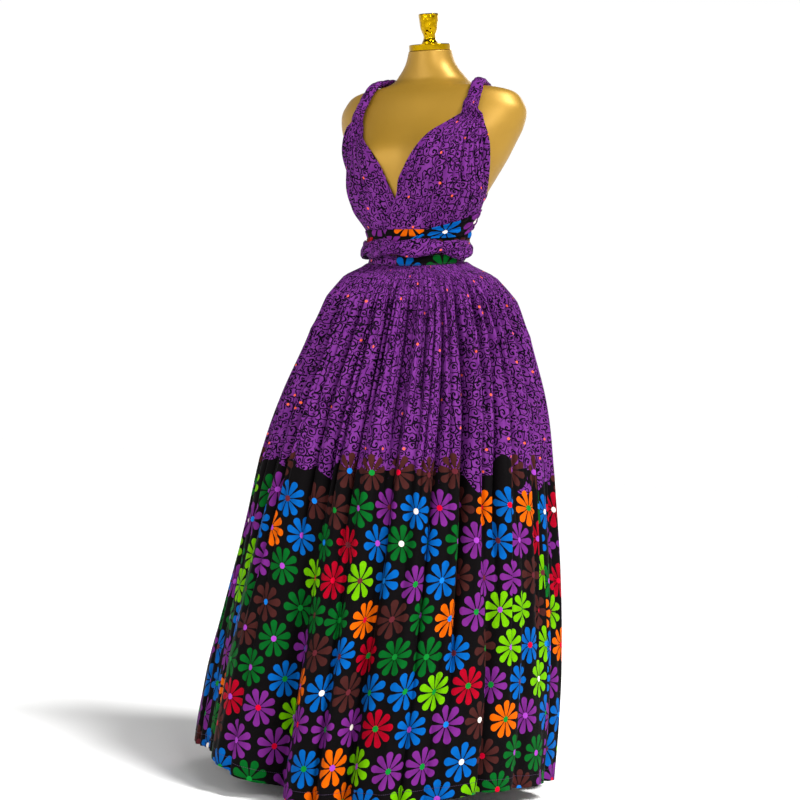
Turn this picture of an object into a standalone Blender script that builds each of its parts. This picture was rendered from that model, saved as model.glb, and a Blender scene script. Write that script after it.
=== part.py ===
"""Ankara wax print dress on a limbless dress form.

A twist-wrap gown: a gathered floor length skirt, a waistband, two strap panels draped over the bust and
twisted over the shoulders, crossed at the back and wound round the waist. Metres, +Z up. The form faces -Y
and its left side is +X. The origin is the middle of the underside of the stand's base.
"""

import math

import bmesh
import bpy
from mathutils import Vector
from mathutils.bvhtree import BVHTree

GAP = 0.0003
CLOTH = 0.002
# Cloth on the form is laid this far off it, so that its flat facets clear the form's.
SEAT = 0.0012
BUST_SEAT = 0.0033
COLLECTION = "ankara_wax_print_dress"

# Form: each row is a level of the torso, from the neck down. tilt lowers the front of a level, lift raises
# its two ends, and forward is the middle of the level in front of the stand's axis.
TORSO_COLUMNS = ("height", "half_width", "front", "back", "forward", "lift", "tilt")
TORSO_LEVELS = (
    (1.511, 0.0445, 0.0435, 0.0435, 0.0265, 0.000, 0.231),
    (1.486, 0.0525, 0.0480, 0.0490, 0.0215, 0.000, 0.200),
    (1.465, 0.0680, 0.0550, 0.0570, 0.0140, 0.000, 0.130),
    (1.449, 0.0880, 0.0620, 0.0660, 0.0070, -0.003, 0.070),
    (1.437, 0.1210, 0.0690, 0.0770, 0.0030, -0.003, 0.030),
    (1.426, 0.1620, 0.0760, 0.0850, 0.0000, 0.004, 0.000),
    (1.413, 0.1890, 0.0840, 0.0910, 0.0000, 0.008, 0.000),
    (1.398, 0.2040, 0.0900, 0.0950, 0.0000, 0.005, 0.000),
    (1.380, 0.2120, 0.0950, 0.0980, 0.0000, 0.002, 0.000),
    (1.352, 0.2070, 0.1000, 0.1010, 0.0020, 0.000, 0.000),
    (1.320, 0.1930, 0.1050, 0.1020, 0.0050, 0.000, 0.000),
    (1.284, 0.1760, 0.1080, 0.1000, 0.0080, 0.000, 0.000),
    (1.225, 0.1420, 0.1020, 0.0940, 0.0120, 0.000, 0.000),
    (1.180, 0.1180, 0.0890, 0.0860, 0.0170, 0.000, 0.000),
    (1.130, 0.1040, 0.0800, 0.0780, 0.0240, 0.000, 0.000),
    (1.085, 0.1000, 0.0770, 0.0760, 0.0290, 0.000, 0.000),
    (1.045, 0.1060, 0.0820, 0.0830, 0.0260, 0.000, 0.000),
    (0.990, 0.1290, 0.0970, 0.1050, 0.0150, 0.000, 0.000),
    (0.920, 0.1560, 0.1100, 0.1240, 0.0070, 0.000, 0.000),
    (0.850, 0.1640, 0.1130, 0.1300, 0.0020, 0.000, 0.000),
    (0.790, 0.1620, 0.1120, 0.1280, 0.0000, 0.000, 0.000),
)
TORSO_STEPS = 32
BUST = {"apart": 0.080, "height": 1.262, "wide": 0.050, "tall": 0.052, "stands": 0.032}

CAP = {"radius": 0.0435, "thick": 0.013, "bevel": 0.0012}
# Finial: each row is a height above the cap and the radius there.
FINIAL_PROFILE = (
    (0.0620, 0.0000),
    (0.0620, 0.0195),
    (0.0600, 0.0208),
    (0.0440, 0.0190),
    (0.0280, 0.0150),
    (0.0170, 0.0125),
    (0.0060, 0.0140),
    (0.0000, 0.0165),
    (0.0000, 0.0000),
)
POLE = {"radius": 0.014, "foot": 0.0143}
BASE = {"radius": 0.165, "thick": 0.014, "bevel": 0.004}

# Skirt: each row is a level of its outline before folds, from the waist seam down.
SKIRT_COLUMNS = ("height", "aside", "forward", "half_width", "front", "back")
SKIRT_LEVELS = (
    (1.075, 0.000, 0.0275, 0.1075, 0.0865, 0.0845),
    (1.048, 0.000, 0.0160, 0.1590, 0.1340, 0.1700),
    (1.002, 0.000, 0.0030, 0.1980, 0.1790, 0.2120),
    (0.930, 0.000, -0.0050, 0.2300, 0.2160, 0.2350),
    (0.775, -0.002, -0.0050, 0.2790, 0.2720, 0.2770),
    (0.638, -0.005, 0.0040, 0.3090, 0.3050, 0.3070),
    (0.450, -0.008, 0.0100, 0.3380, 0.3350, 0.3360),
    (0.263, -0.013, 0.0210, 0.3610, 0.3570, 0.3580),
    (0.127, -0.019, 0.0290, 0.3720, 0.3670, 0.3680),
    (0.018, -0.024, 0.0340, 0.3760, 0.3730, 0.3730),
)
SEAM_HEIGHT = 1.0745
SEAM_DIP = 0.0235
HEM_HEIGHT = 0.018
# How much higher the hem hangs at each angle round the skirt.
HEM_COLUMNS = ("angle", "lift")
HEM_LIFTS = (
    (-180.0, 0.004),
    (-150.0, 0.008),
    (-120.0, 0.012),
    (-90.0, 0.018),
    (-60.0, 0.036),
    (-30.0, 0.043),
    (0.0, 0.000),
    (30.0, 0.010),
    (60.0, 0.034),
    (90.0, 0.030),
    (120.0, 0.014),
    (150.0, 0.006),
    (180.0, 0.004),
)
GATHERS = 120
GATHER_DEPTH = 0.0016
# Where the rows of the skirt lie, as shares of the way from the seam to the hem. The first ones carry every
# gather, the others half as many columns.
FINE_ROWS = (0.0, 0.028, 0.085, 0.20)
BROAD_ROWS = (0.33, 0.46, 0.60, 0.73, 0.86, 1.0)
# Main folds, all valleys. Each row is where one lies round the skirt in degrees from the front towards the
# form's left, its half width in degrees, its depth at the hem, and where it starts, from 0 at the seam to 1.
FOLDS = (
    (-164.0, 7.0, 0.048, 0.20),
    (-147.0, 5.0, 0.030, 0.10),
    (-128.0, 8.0, 0.060, 0.25),
    (-108.0, 5.0, 0.026, 0.15),
    (-91.0, 6.0, 0.036, 0.10),
    (-71.0, 4.5, 0.016, 0.15),
    (-58.0, 4.0, 0.014, 0.35),
    (-44.0, 14.0, 0.030, 0.45),
    (-35.0, 3.5, 0.014, 0.20),
    (-20.0, 3.5, 0.012, 0.10),
    (-5.5, 8.5, 0.088, 0.22),
    (10.0, 3.2, 0.026, 0.12),
    (22.0, 5.5, 0.052, 0.10),
    (37.0, 2.8, 0.018, 0.08),
    (43.5, 2.8, 0.015, 0.30),
    (61.0, 2.8, 0.022, 0.12),
    (78.0, 5.0, 0.014, 0.10),
    (96.0, 5.0, 0.024, 0.15),
    (114.0, 6.5, 0.046, 0.20),
    (131.0, 5.0, 0.022, 0.10),
    (148.0, 7.5, 0.056, 0.25),
    (169.0, 5.0, 0.030, 0.12),
)

BAND = {"height": 0.022, "rows": 2, "columns": 60}

# Draped strap panels over the bust, left side of the form. Each row is a level, as a share of the way from
# the shoulder down to the waistband, with the angles of the panel's two edges round the form.
DRAPE_COLUMNS = ("share", "inner_angle", "outer_angle")
LEFT_DRAPE = (
    (0.00, 51.5, 63.0),
    (0.07, 40.0, 64.0),
    (0.16, 25.0, 66.5),
    (0.31, 12.0, 70.0),
    (0.46, 2.0, 75.0),
    (0.58, -7.0, 80.0),
    (0.72, -12.0, 84.0),
    (0.87, -15.0, 85.0),
    (1.00, -16.0, 86.0),
)
RIGHT_DRAPE = (
    (0.00, 48.0, 62.0),
    (0.12, 38.0, 66.0),
    (0.23, 24.0, 69.0),
    (0.34, 16.0, 72.0),
    (0.46, 11.0, 75.0),
    (0.58, 4.0, 79.0),
    (0.72, -5.0, 83.0),
    (0.87, -12.0, 85.0),
    (1.00, -16.0, 86.0),
)
LEFT_DRAPE_TOP = 1.3625
RIGHT_DRAPE_TOP = 1.3465
DRAPE_ROWS = 10
DRAPE_FOLDS = 9
DRAPE_FOLD_DEPTH = 0.0026
# How far the cloth stands off the form where it bridges the hollow below the bust.
BRIDGE = 0.024
# How far the left panel is moved out where it crosses the right one.
OVERLAP_LIFT = CLOTH + DRAPE_FOLD_DEPTH + 0.0008

# Twisted straps over the shoulders: points near their middle lines, from the front to the back.
LEFT_TWIST_ROUTE = (
    (0.1280, -0.0900, 1.3680),
    (0.1320, -0.0760, 1.3920),
    (0.1310, -0.0600, 1.4180),
    (0.1260, -0.0380, 1.4380),
    (0.1180, -0.0100, 1.4480),
    (0.1090, 0.0220, 1.4460),
    (0.1020, 0.0520, 1.4280),
    (0.0960, 0.0760, 1.4020),
)
RIGHT_TWIST_ROUTE = (
    (-0.1250, -0.0880, 1.3476),
    (-0.1220, -0.0860, 1.3750),
    (-0.1110, -0.0760, 1.4050),
    (-0.1020, -0.0560, 1.4320),
    (-0.0980, -0.0240, 1.4480),
    (-0.0970, 0.0120, 1.4500),
    (-0.0960, 0.0440, 1.4360),
    (-0.0955, 0.0763, 1.4040),
)
TWIST = {"half_width": 0.0130, "half_thick": 0.0070, "lobe": 0.20, "pitch": 0.085, "step": 0.009, "sides": 10}

# Straps across the back, from the left shoulder: angle and height of the middle line, half width, and lift.
BACK_COLUMNS = ("angle", "height", "half_width", "lift")
LEFT_BACK_ROUTE = (
    (129.0, 1.389, 0.013, 0.0000),
    (146.0, 1.362, 0.017, 0.0000),
    (165.0, 1.325, 0.022, 0.0050),
    (182.0, 1.296, 0.024, 0.0052),
    (204.0, 1.256, 0.025, 0.0030),
    (228.0, 1.204, 0.025, 0.0000),
    (246.0, 1.164, 0.024, 0.0000),
    (262.0, 1.140, 0.020, 0.0000),
)
RIGHT_BACK_ROUTE = (
    (231.0, 1.391, 0.013, 0.0000),
    (214.0, 1.366, 0.017, 0.0000),
    (195.0, 1.336, 0.022, 0.0000),
    (176.0, 1.308, 0.024, 0.0000),
    (152.0, 1.268, 0.025, 0.0000),
    (128.0, 1.226, 0.026, 0.0000),
    (111.0, 1.202, 0.026, 0.0000),
)
# Strap end that comes round the left side and down to the front of the waist, over the bodice.
SIDE_ROUTE = (
    (109.0, 1.1990, 0.0255, 0.0000),
    (97.0, 1.1810, 0.0240, 0.0000),
    (84.0, 1.1600, 0.0210, 0.0000),
    (66.0, 1.1390, 0.0175, 0.0000),
    (50.0, 1.1270, 0.0140, 0.0000),
    (33.0, 1.1200, 0.0095, 0.0000),
)
STRAP = {"thick": 0.0035, "across": 3, "step_deg": 6.0}
UPPER_WRAP = {"height": 0.020, "front": 1.1050, "side": 1.1165, "thick": 0.0030, "columns": 60}
# Two strands wound round each other, right round the waist and flattened on to it.
WOUND = {"strand": 0.0086, "orbit": 0.0090, "turns": 7, "rings": 70, "sides": 6, "flat": 0.34}
WOUND_FRONT = 1.0860
WOUND_SIDE = 1.0970


def clear_scene():
    for obj in list(bpy.data.objects):
        bpy.data.objects.remove(obj)
    collection = bpy.data.collections.new(COLLECTION)
    bpy.context.scene.collection.children.link(collection)
    return collection


def material(name, colour, roughness, metallic=0.0):
    made = bpy.data.materials.new(name)
    made.use_nodes = True
    shader = made.node_tree.nodes["Principled BSDF"]
    shader.inputs["Base Color"].default_value = (*colour, 1.0)
    shader.inputs["Roughness"].default_value = roughness
    shader.inputs["Metallic"].default_value = metallic
    made.diffuse_color = (*colour, 1.0)
    return made


def add_object(collection, name, mesh, finish):
    mesh.materials.append(finish)
    obj = bpy.data.objects.new(name, mesh)
    collection.objects.link(obj)
    return obj


def between(rows, columns, name, share):
    """A column of a table, read at a share of the way through its rows, on a smooth curve."""
    at = columns.index(name)
    place = min(max(share, 0.0), 1.0) * (len(rows) - 1)
    row = min(int(place), len(rows) - 2)
    t = place - row
    p0, p1, p2, p3 = (rows[min(max(row + k, 0), len(rows) - 1)][at] for k in (-1, 0, 1, 2))
    m1, m2 = (p2 - p0) / 2, (p3 - p1) / 2
    return (
        (2 * t**3 - 3 * t**2 + 1) * p1
        + (t**3 - 2 * t**2 + t) * m1
        + (3 * t**2 - 2 * t**3) * p2
        + (t**3 - t**2) * m2
    )


def at_height(rows, columns, name, height):
    """A column of a table whose rows fall in height, read at one height."""
    share = 0.0
    for k in range(len(rows) - 1):
        if height <= rows[k][0]:
            share = (k + (rows[k][0] - height) / (rows[k][0] - rows[k + 1][0])) / (len(rows) - 1)
    return between(rows, columns, name, share)


def smooth_step(low, high, value):
    t = min(max((value - low) / (high - low), 0.0), 1.0)
    return t * t * (3 - 2 * t)


def torso_point(share, turn):
    """A point of the torso: share runs from the neck to the bottom, turn is an angle from the front."""
    level = {name: between(TORSO_LEVELS, TORSO_COLUMNS, name, share) for name in TORSO_COLUMNS}
    side, ahead = math.sin(turn), math.cos(turn)
    x = level["half_width"] * side
    reach = (level["front"] if ahead > 0 else level["back"]) * ahead
    z = level["height"] + level["lift"] * side * side - level["tilt"] * reach
    if ahead > 0:
        for centre in (-BUST["apart"], BUST["apart"]):
            off = ((x - centre) / BUST["wide"]) ** 2 + ((z - BUST["height"]) / BUST["tall"]) ** 2
            reach += BUST["stands"] * math.exp(-off / 1.6) * min(1.0, 2.2 * ahead)
    return Vector((x, -(level["forward"] + reach), z))


def loft(rings, capped=True, looped=False):
    """A mesh through rings of points, closed round each ring."""
    bm = bmesh.new()
    made = [[bm.verts.new(point) for point in ring] for ring in rings]
    pairs = list(zip(made, made[1:]))
    if looped:
        pairs.append((made[-1], made[0]))
    for upper, lower in pairs:
        for k in range(len(upper)):
            after = (k + 1) % len(upper)
            bm.faces.new((upper[k], upper[after], lower[after], lower[k]))
    if capped:
        bm.faces.new(made[0])
        bm.faces.new(made[-1])
    return finished(bm)


def finished(bm):
    bmesh.ops.recalc_face_normals(bm, faces=bm.faces)
    mesh = bpy.data.meshes.new("shape")
    bm.to_mesh(mesh)
    bm.free()
    mesh.shade_smooth()
    return mesh


def sheet(rows, outside, closed=False):
    """An open sheet through rows of points, whose first face has to look in the direction outside."""
    bm = bmesh.new()
    made = [[bm.verts.new(point) for point in row] for row in rows]
    for upper, lower in zip(made, made[1:]):
        if closed:
            upper, lower = upper + upper[:1], lower + lower[:1]
        sewn(bm, upper, lower)
    bm.faces.ensure_lookup_table()
    bm.normal_update()
    if bm.faces[0].normal.dot(outside) < 0:
        bmesh.ops.reverse_faces(bm, faces=bm.faces)
    mesh = bpy.data.meshes.new("sheet")
    bm.to_mesh(mesh)
    bm.free()
    mesh.shade_smooth()
    return mesh


def sewn(bm, upper, lower):
    """Faces between two rows, where the lower one may have half as many columns."""
    if len(upper) == len(lower):
        for k in range(len(upper) - 1):
            bm.faces.new((upper[k], lower[k], lower[k + 1], upper[k + 1]))
        return
    for k in range(len(lower) - 1):
        left, middle, right = upper[2 * k : 2 * k + 3]
        bm.faces.new((left, lower[k], middle))
        bm.faces.new((middle, lower[k], lower[k + 1]))
        bm.faces.new((middle, lower[k + 1], right))


def wall(outer, inner):
    """A closed wall between two sheets of the same rows, with its four edges."""
    bm = bmesh.new()
    outside = [[bm.verts.new(point) for point in row] for row in outer]
    inside = [[bm.verts.new(point) for point in row] for row in inner]
    for rows in (outside, inside):
        for upper, lower in zip(rows, rows[1:]):
            sewn(bm, upper, lower)
    sewn(bm, outside[0], inside[0])
    sewn(bm, outside[-1], inside[-1])
    for end in (0, -1):
        sewn(bm, [row[end] for row in outside], [row[end] for row in inside])
    return finished(bm)


def thicken(obj, thickness, outwards):
    """Gives an open sheet its wall, on its outer or its inner side."""
    wall = obj.modifiers.new("wall", "SOLIDIFY")
    wall.thickness = thickness
    wall.offset = 1.0 if outwards else -1.0


def make_torso(collection):
    rings = []
    steps = 36
    for k in range(steps + 1):
        share = k / steps
        rings.append([torso_point(share, 2 * math.pi * j / TORSO_STEPS) for j in range(TORSO_STEPS)])
    finish = material("satin_gold_plastic", (0.584, 0.323, 0.042), 0.32, 0.25)
    return add_object(collection, "form_torso", loft(rings), finish)


class Figure:
    """The torso, and the cloth that lies on it so far, as surfaces that the next piece is laid on."""

    def __init__(self, torso):
        self.trees = []
        self.add(torso)

    def add(self, obj):
        graph = bpy.context.evaluated_depsgraph_get()
        bm = bmesh.new()
        bm.from_object(obj, graph)
        self.trees.append(BVHTree.FromBMesh(bm))
        bm.free()

    def out(self, angle, height, lift):
        """The point at this angle and height that stands this far off the torso."""
        turn = math.radians(angle)
        ray = Vector((math.sin(turn), -math.cos(turn), 0))
        found, normal, _, _ = self.trees[0].ray_cast(Vector((0, 0, height)) + ray, -ray)
        flat = Vector((normal.x, normal.y, 0)).normalized()
        return found + flat * lift

    def over(self, angle, height, lift, around, above):
        """The point this far out from whatever lies within so many degrees and so far up and down."""
        farthest = 0.0
        for turned in (-around, -around / 2, 0.0, around / 2, around):
            turn = math.radians(angle + turned)
            ray = Vector((math.sin(turn), -math.cos(turn), 0))
            for raised in (-above, -above / 2, 0.0, above / 2, above):
                start = Vector((0, 0, height + raised)) + ray
                for tree in self.trees:
                    found = tree.ray_cast(start, -ray, 1.0)[0]
                    if found is not None:
                        farthest = max(farthest, math.hypot(found.x, found.y))
        turn = math.radians(angle)
        reach = farthest + lift
        return Vector((math.sin(turn) * reach, -math.cos(turn) * reach, height))

    def off(self, point, lift):
        """The point that stands this far off the torso where it is nearest to a point."""
        found, normal, _, _ = self.trees[0].find_nearest(point)
        return found + normal * lift


def make_cap_and_finial(collection):
    level = TORSO_LEVELS[0]
    tilt = math.atan(level[6])
    axis = Vector((0, -math.sin(tilt), math.cos(tilt)))
    top = Vector((0, -level[4], level[0]))
    brass = material("mirror_gold", (0.80, 0.57, 0.0), 0.12, 1.0)

    bpy.ops.mesh.primitive_cylinder_add(vertices=40, radius=CAP["radius"], depth=CAP["thick"])
    cap = bpy.context.object
    cap.name = "neck_cap"
    cap.location = top + axis * (GAP + CAP["thick"] / 2)
    cap.rotation_euler = (tilt, 0, 0)
    cap.data.materials.append(brass)
    edge = cap.modifiers.new("edge", "BEVEL")
    edge.width = CAP["bevel"]
    edge.segments = 1
    move_to(collection, cap)

    profile = bpy.data.meshes.new("finial")
    points = [(radius, 0, height) for height, radius in FINIAL_PROFILE]
    profile.from_pydata(points, [(k, k + 1) for k in range(len(points) - 1)], [])
    finial = add_object(collection, "finial", profile, brass)
    finial.location = top + axis * (2 * GAP + CAP["thick"])
    finial.rotation_euler = (tilt, 0, 0)
    turned = finial.modifiers.new("turned", "SCREW")
    turned.steps = turned.render_steps = 14
    turned.use_merge_vertices = True
    turned.merge_threshold = 0.0001


def move_to(collection, obj):
    for other in obj.users_collection:
        other.objects.unlink(obj)
    collection.objects.link(obj)


def make_stand(collection):
    iron = material("powder_coated_iron", (0.02, 0.02, 0.02), 0.45, 0.3)
    bpy.ops.mesh.primitive_cylinder_add(vertices=40, radius=BASE["radius"], depth=BASE["thick"])
    base = bpy.context.object
    base.name = "stand_base"
    base.location.z = BASE["thick"] / 2
    base.data.materials.append(iron)
    edge = base.modifiers.new("edge", "BEVEL")
    edge.width = BASE["bevel"]
    edge.segments = 1
    edge.limit_method = "ANGLE"
    move_to(collection, base)

    top = TORSO_LEVELS[-1][0] - GAP
    length = top - POLE["foot"]
    bpy.ops.mesh.primitive_cylinder_add(vertices=20, radius=POLE["radius"], depth=length)
    pole = bpy.context.object
    pole.name = "stand_pole"
    pole.location.z = POLE["foot"] + length / 2
    pole.data.materials.append(iron)
    move_to(collection, pole)


def seam_height(angle):
    """The waist seam dips at the front."""
    return SEAM_HEIGHT - SEAM_DIP * max(0.0, math.cos(math.radians(angle)))


def hem_height(angle):
    return HEM_HEIGHT + between(HEM_LIFTS, HEM_COLUMNS, "lift", (angle + 180.0) / 360.0)


def fold_in(angle, share):
    """How far the main folds draw the skirt in, at an angle and a share of the way down."""
    total = 0.0
    for place, half_angle, depth, starts in FOLDS:
        away = (angle - place + 180.0) % 360.0 - 180.0
        if abs(away) < 3 * half_angle:
            grown = smooth_step(starts, 1.0, share) ** 0.7
            total += depth * grown * math.exp(-((away / half_angle) ** 2) * 1.4)
    return total


def gather(column, share):
    """The fine gathers: each column is in turn a ridge and a valley. They fade out by the hip."""
    grown = 1.0 + 1.6 * smooth_step(0.0, 0.10, share)
    fade = 1.0 - smooth_step(0.16, 0.42, share)
    return GATHER_DEPTH * grown * fade * (1 if column % 2 else -1)


def outline_point(angle, share):
    """A point of the skirt's outline before folds, at a height of nought."""
    level = SKIRT_LEVELS[0][0] + (SKIRT_LEVELS[-1][0] - SKIRT_LEVELS[0][0]) * share
    aside, forward, half_width, front, back = (
        at_height(SKIRT_LEVELS, SKIRT_COLUMNS, name, level) for name in SKIRT_COLUMNS[1:]
    )
    turn = math.radians(angle)
    reach = (front if math.cos(turn) > 0 else back) * math.cos(turn)
    return Vector((aside + half_width * math.sin(turn), -(forward + reach), 0))


def skirt_point(angle, share, column):
    """A point on the outside of the skirt, and the way outwards there."""
    seam = outline_point(angle, 0.0)
    top = seam_height(math.degrees(math.atan2(seam.x, -seam.y)))
    height = top + (hem_height(angle) - top) * share
    turn = math.radians(angle)
    outwards = Vector((math.sin(turn), -math.cos(turn), 0))
    point = outline_point(angle, share) + outwards * (gather(column, share) - fold_in(angle, share))
    point.z = height
    return point, outwards


def make_skirt(collection):
    cotton = material("wax_print_cotton", (0.262, 0.024, 0.367), 0.62)
    for name, start in (("skirt_front", -90.0), ("skirt_back", 90.0)):
        outer, inner = [], []
        for share in FINE_ROWS + BROAD_ROWS:
            columns = GATHERS if share in FINE_ROWS else GATHERS // 2
            points = []
            for k in range(columns + 1):
                angle = (start + 180.0 * k / columns + 180.0) % 360.0 - 180.0
                points.append(skirt_point(angle, share, k * GATHERS // columns))
            # The two ends draw back from the side seams by half of the gap there.
            ahead = Vector((0, -1 if name == "skirt_front" else 1, 0))
            points[0][0].xyz += ahead * GAP / 2
            points[-1][0].xyz += ahead * GAP / 2
            outer.append([point for point, _ in points])
            inner.append([point - outwards * CLOTH for point, outwards in points])
        add_object(collection, name, wall(outer, inner), cotton)
    return cotton


def make_waistband(collection, figure, cotton):
    rows = []
    for k in range(BAND["rows"]):
        up = 2 * GAP + BAND["height"] * (1 - k / (BAND["rows"] - 1))
        row = []
        for j in range(BAND["columns"]):
            angle = 360.0 * j / BAND["columns"] - 180.0
            row.append(figure.out(angle, seam_height(angle) + up, SEAT))
        rows.append(row)
    band = add_object(collection, "waistband", sheet(rows, Vector((0, 1, 0)), closed=True), cotton)
    thicken(band, CLOTH, outwards=True)
    return band


def drape_lift(across, down):
    """Soft gathers that fan out from the shoulder, and the hollow that the cloth bridges below the bust."""
    wave = 0.5 - 0.5 * math.cos(2 * math.pi * DRAPE_FOLDS * across**0.9)
    gathers = DRAPE_FOLD_DEPTH * wave * (0.35 + 0.65 * smooth_step(1.0, 0.35, down))
    hollow = smooth_step(0.28, 0.62, down) * smooth_step(0.88, 0.66, down)
    towards_side = smooth_step(0.15, 0.70, across) * (1 - 0.75 * smooth_step(0.84, 1.0, across))
    return gathers + BRIDGE * hollow * towards_side


def make_bodice(collection, figure, cotton):
    columns = DRAPE_FOLDS * 2
    panels = []
    for name, levels, top, mirror in (
        ("bodice_left", LEFT_DRAPE, LEFT_DRAPE_TOP, 1),
        ("bodice_right", RIGHT_DRAPE, RIGHT_DRAPE_TOP, -1),
    ):
        rows = []
        for k in range(DRAPE_ROWS + 1):
            share, inner, outer = (
                between(levels, DRAPE_COLUMNS, column, k / DRAPE_ROWS) for column in DRAPE_COLUMNS
            )
            row = []
            for j in range(columns + 1):
                across = j / columns
                angle = inner + (outer - inner) * across
                bottom = seam_height(angle) + BAND["height"] + 4 * GAP
                height = top + (bottom - top) * share
                lift = BUST_SEAT + drape_lift(across, share)
                if mirror > 0:
                    lift += OVERLAP_LIFT * smooth_step(26.0, 16.0, angle) * smooth_step(1.25, 1.22, height)
                row.append(figure.out(angle * mirror, height, lift))
            rows.append(row)
        panel = add_object(collection, name, sheet(rows, Vector((0, -1, 0))), cotton)
        thicken(panel, CLOTH, outwards=True)
        panels.append(panel)
    return panels


def along(route, share):
    """A point on a smooth curve through a route."""
    return Vector([between(route, "xyz", axis, share) for axis in "xyz"])


def make_twists(collection, figure, cotton):
    for name, route in (("strap_left_twist", LEFT_TWIST_ROUTE), ("strap_right_twist", RIGHT_TWIST_ROUTE)):
        length = sum((Vector(a) - Vector(b)).length for a, b in zip(route, route[1:]))
        count = round(length / TWIST["step"])
        rings = []
        for k in range(count + 1):
            share = k / count
            middle = figure.off(along(route, share), TWIST["half_thick"] + 4 * GAP)
            ahead = along(route, share + 0.01) - along(route, share - 0.01)
            outwards = (figure.off(middle, 0.02) - figure.off(middle, 0.0)).normalized()
            sideways = ahead.cross(outwards).normalized()
            spin = 2 * math.pi * share * length / TWIST["pitch"]
            ring = []
            for j in range(TWIST["sides"]):
                turn = 2 * math.pi * j / TWIST["sides"]
                lobe = 1 - TWIST["lobe"] * math.sin(turn - spin) ** 2
                point = middle + sideways * TWIST["half_width"] * math.cos(turn) * lobe
                ring.append(point + outwards * TWIST["half_thick"] * math.sin(turn) * lobe)
            rings.append(ring)
        add_object(collection, name, loft(rings), cotton)


def make_strap(collection, figure, cotton, name, route, over_cloth):
    """A flat strap along a route of angles and heights, on the form or over the cloth that is on it."""
    count = round(abs(route[-1][0] - route[0][0]) / STRAP["step_deg"])
    rows = []
    for k in range(count + 1):
        angle, height, half_width, lift = (
            between(route, BACK_COLUMNS, column, k / count) for column in BACK_COLUMNS
        )
        row = []
        for j in range(STRAP["across"] + 1):
            level = height + half_width * (1 - 2 * j / STRAP["across"])
            if over_cloth:
                row.append(figure.over(angle, level, 3 * GAP, STRAP["step_deg"], 0.008))
            else:
                row.append(figure.out(angle, level, SEAT + lift))
        rows.append(row)
    turn = math.radians(route[0][0])
    strap = add_object(collection, name, sheet(rows, Vector((math.sin(turn), -math.cos(turn), 0))), cotton)
    thicken(strap, STRAP["thick"], outwards=True)
    return strap


def wrap_height(angle, front, side):
    """The turns round the waist dip at the front as the seam does."""
    return side + (front - side) * max(0.0, math.cos(math.radians(angle)))


def make_upper_wrap(collection, figure, cotton):
    rows = []
    for up in (1.0, 0.5, 0.0):
        row = []
        for j in range(UPPER_WRAP["columns"]):
            angle = 360.0 * j / UPPER_WRAP["columns"] - 180.0
            height = wrap_height(angle, UPPER_WRAP["front"], UPPER_WRAP["side"]) + UPPER_WRAP["height"] * up
            row.append(figure.over(angle, height, 3 * GAP, 6.0, 0.006))
        rows.append(row)
    band = add_object(collection, "wrap_upper", sheet(rows, Vector((0, 1, 0)), closed=True), cotton)
    thicken(band, UPPER_WRAP["thick"], outwards=True)
    return band


def make_wound_wrap(collection, figure, cotton):
    reach = (WOUND["strand"] + WOUND["orbit"]) * WOUND["flat"]
    for name, phase in (("wrap_twist_a", 0.0), ("wrap_twist_b", math.pi)):
        rings = []
        for k in range(WOUND["rings"]):
            angle = 360.0 * k / WOUND["rings"] - 180.0
            height = wrap_height(angle, WOUND_FRONT, WOUND_SIDE)
            middle = figure.over(angle, height, reach + GAP, 5.0, 0.014)
            turn = math.radians(angle)
            outwards = Vector((math.sin(turn), -math.cos(turn), 0)) * WOUND["flat"]
            upwards = Vector((0, 0, 1))
            spin = 2 * math.pi * WOUND["turns"] * k / WOUND["rings"] + phase
            centre = middle + (outwards * math.cos(spin) + upwards * math.sin(spin)) * WOUND["orbit"]
            ring = []
            for j in range(WOUND["sides"]):
                turned = 2 * math.pi * j / WOUND["sides"] + spin
                across = outwards * math.cos(turned) + upwards * math.sin(turned)
                ring.append(centre + across * WOUND["strand"])
            rings.append(ring)
        add_object(collection, name, loft(rings, capped=False, looped=True), cotton)


def main():
    collection = clear_scene()
    torso = make_torso(collection)
    figure = Figure(torso)
    make_cap_and_finial(collection)
    make_stand(collection)
    cotton = make_skirt(collection)
    band = make_waistband(collection, figure, cotton)
    panels = make_bodice(collection, figure, cotton)
    make_twists(collection, figure, cotton)
    left = make_strap(collection, figure, cotton, "strap_left_back", LEFT_BACK_ROUTE, over_cloth=False)
    make_strap(collection, figure, cotton, "strap_right_back", RIGHT_BACK_ROUTE, over_cloth=False)
    for laid in (band, *panels):
        figure.add(laid)
    make_wound_wrap(collection, figure, cotton)
    figure.add(left)
    figure.add(make_upper_wrap(collection, figure, cotton))
    make_strap(collection, figure, cotton, "wrap_side", SIDE_ROUTE, over_cloth=True)


main()
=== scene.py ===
"""Looks of the ankara wax print dress on its limbless dress form.

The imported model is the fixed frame. This script lays modelled cloth, a smooth form and procedural finishes
on it. Metres, +Z up. The form faces -Y and its left side is +X.
"""

import math

import bmesh
import bpy
import numpy as np
from mathutils import Matrix, Vector
from mathutils.bvhtree import BVHTree


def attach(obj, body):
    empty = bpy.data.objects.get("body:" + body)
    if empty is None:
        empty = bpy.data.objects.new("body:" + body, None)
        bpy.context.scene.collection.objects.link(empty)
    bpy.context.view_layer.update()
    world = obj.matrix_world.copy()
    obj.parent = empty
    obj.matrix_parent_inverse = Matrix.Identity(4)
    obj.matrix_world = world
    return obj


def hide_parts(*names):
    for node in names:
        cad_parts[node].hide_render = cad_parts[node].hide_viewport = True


bl_info = {
    "name": "Ankara wax print dress",
    "version": (1, 0, 0),
    "blender": (4, 5, 0),
    "location": "View3D > Sidebar > Dress",
    "description": "Builds a wax print wrap dress on a dress form",
    "category": "Add Mesh",
}

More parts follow.
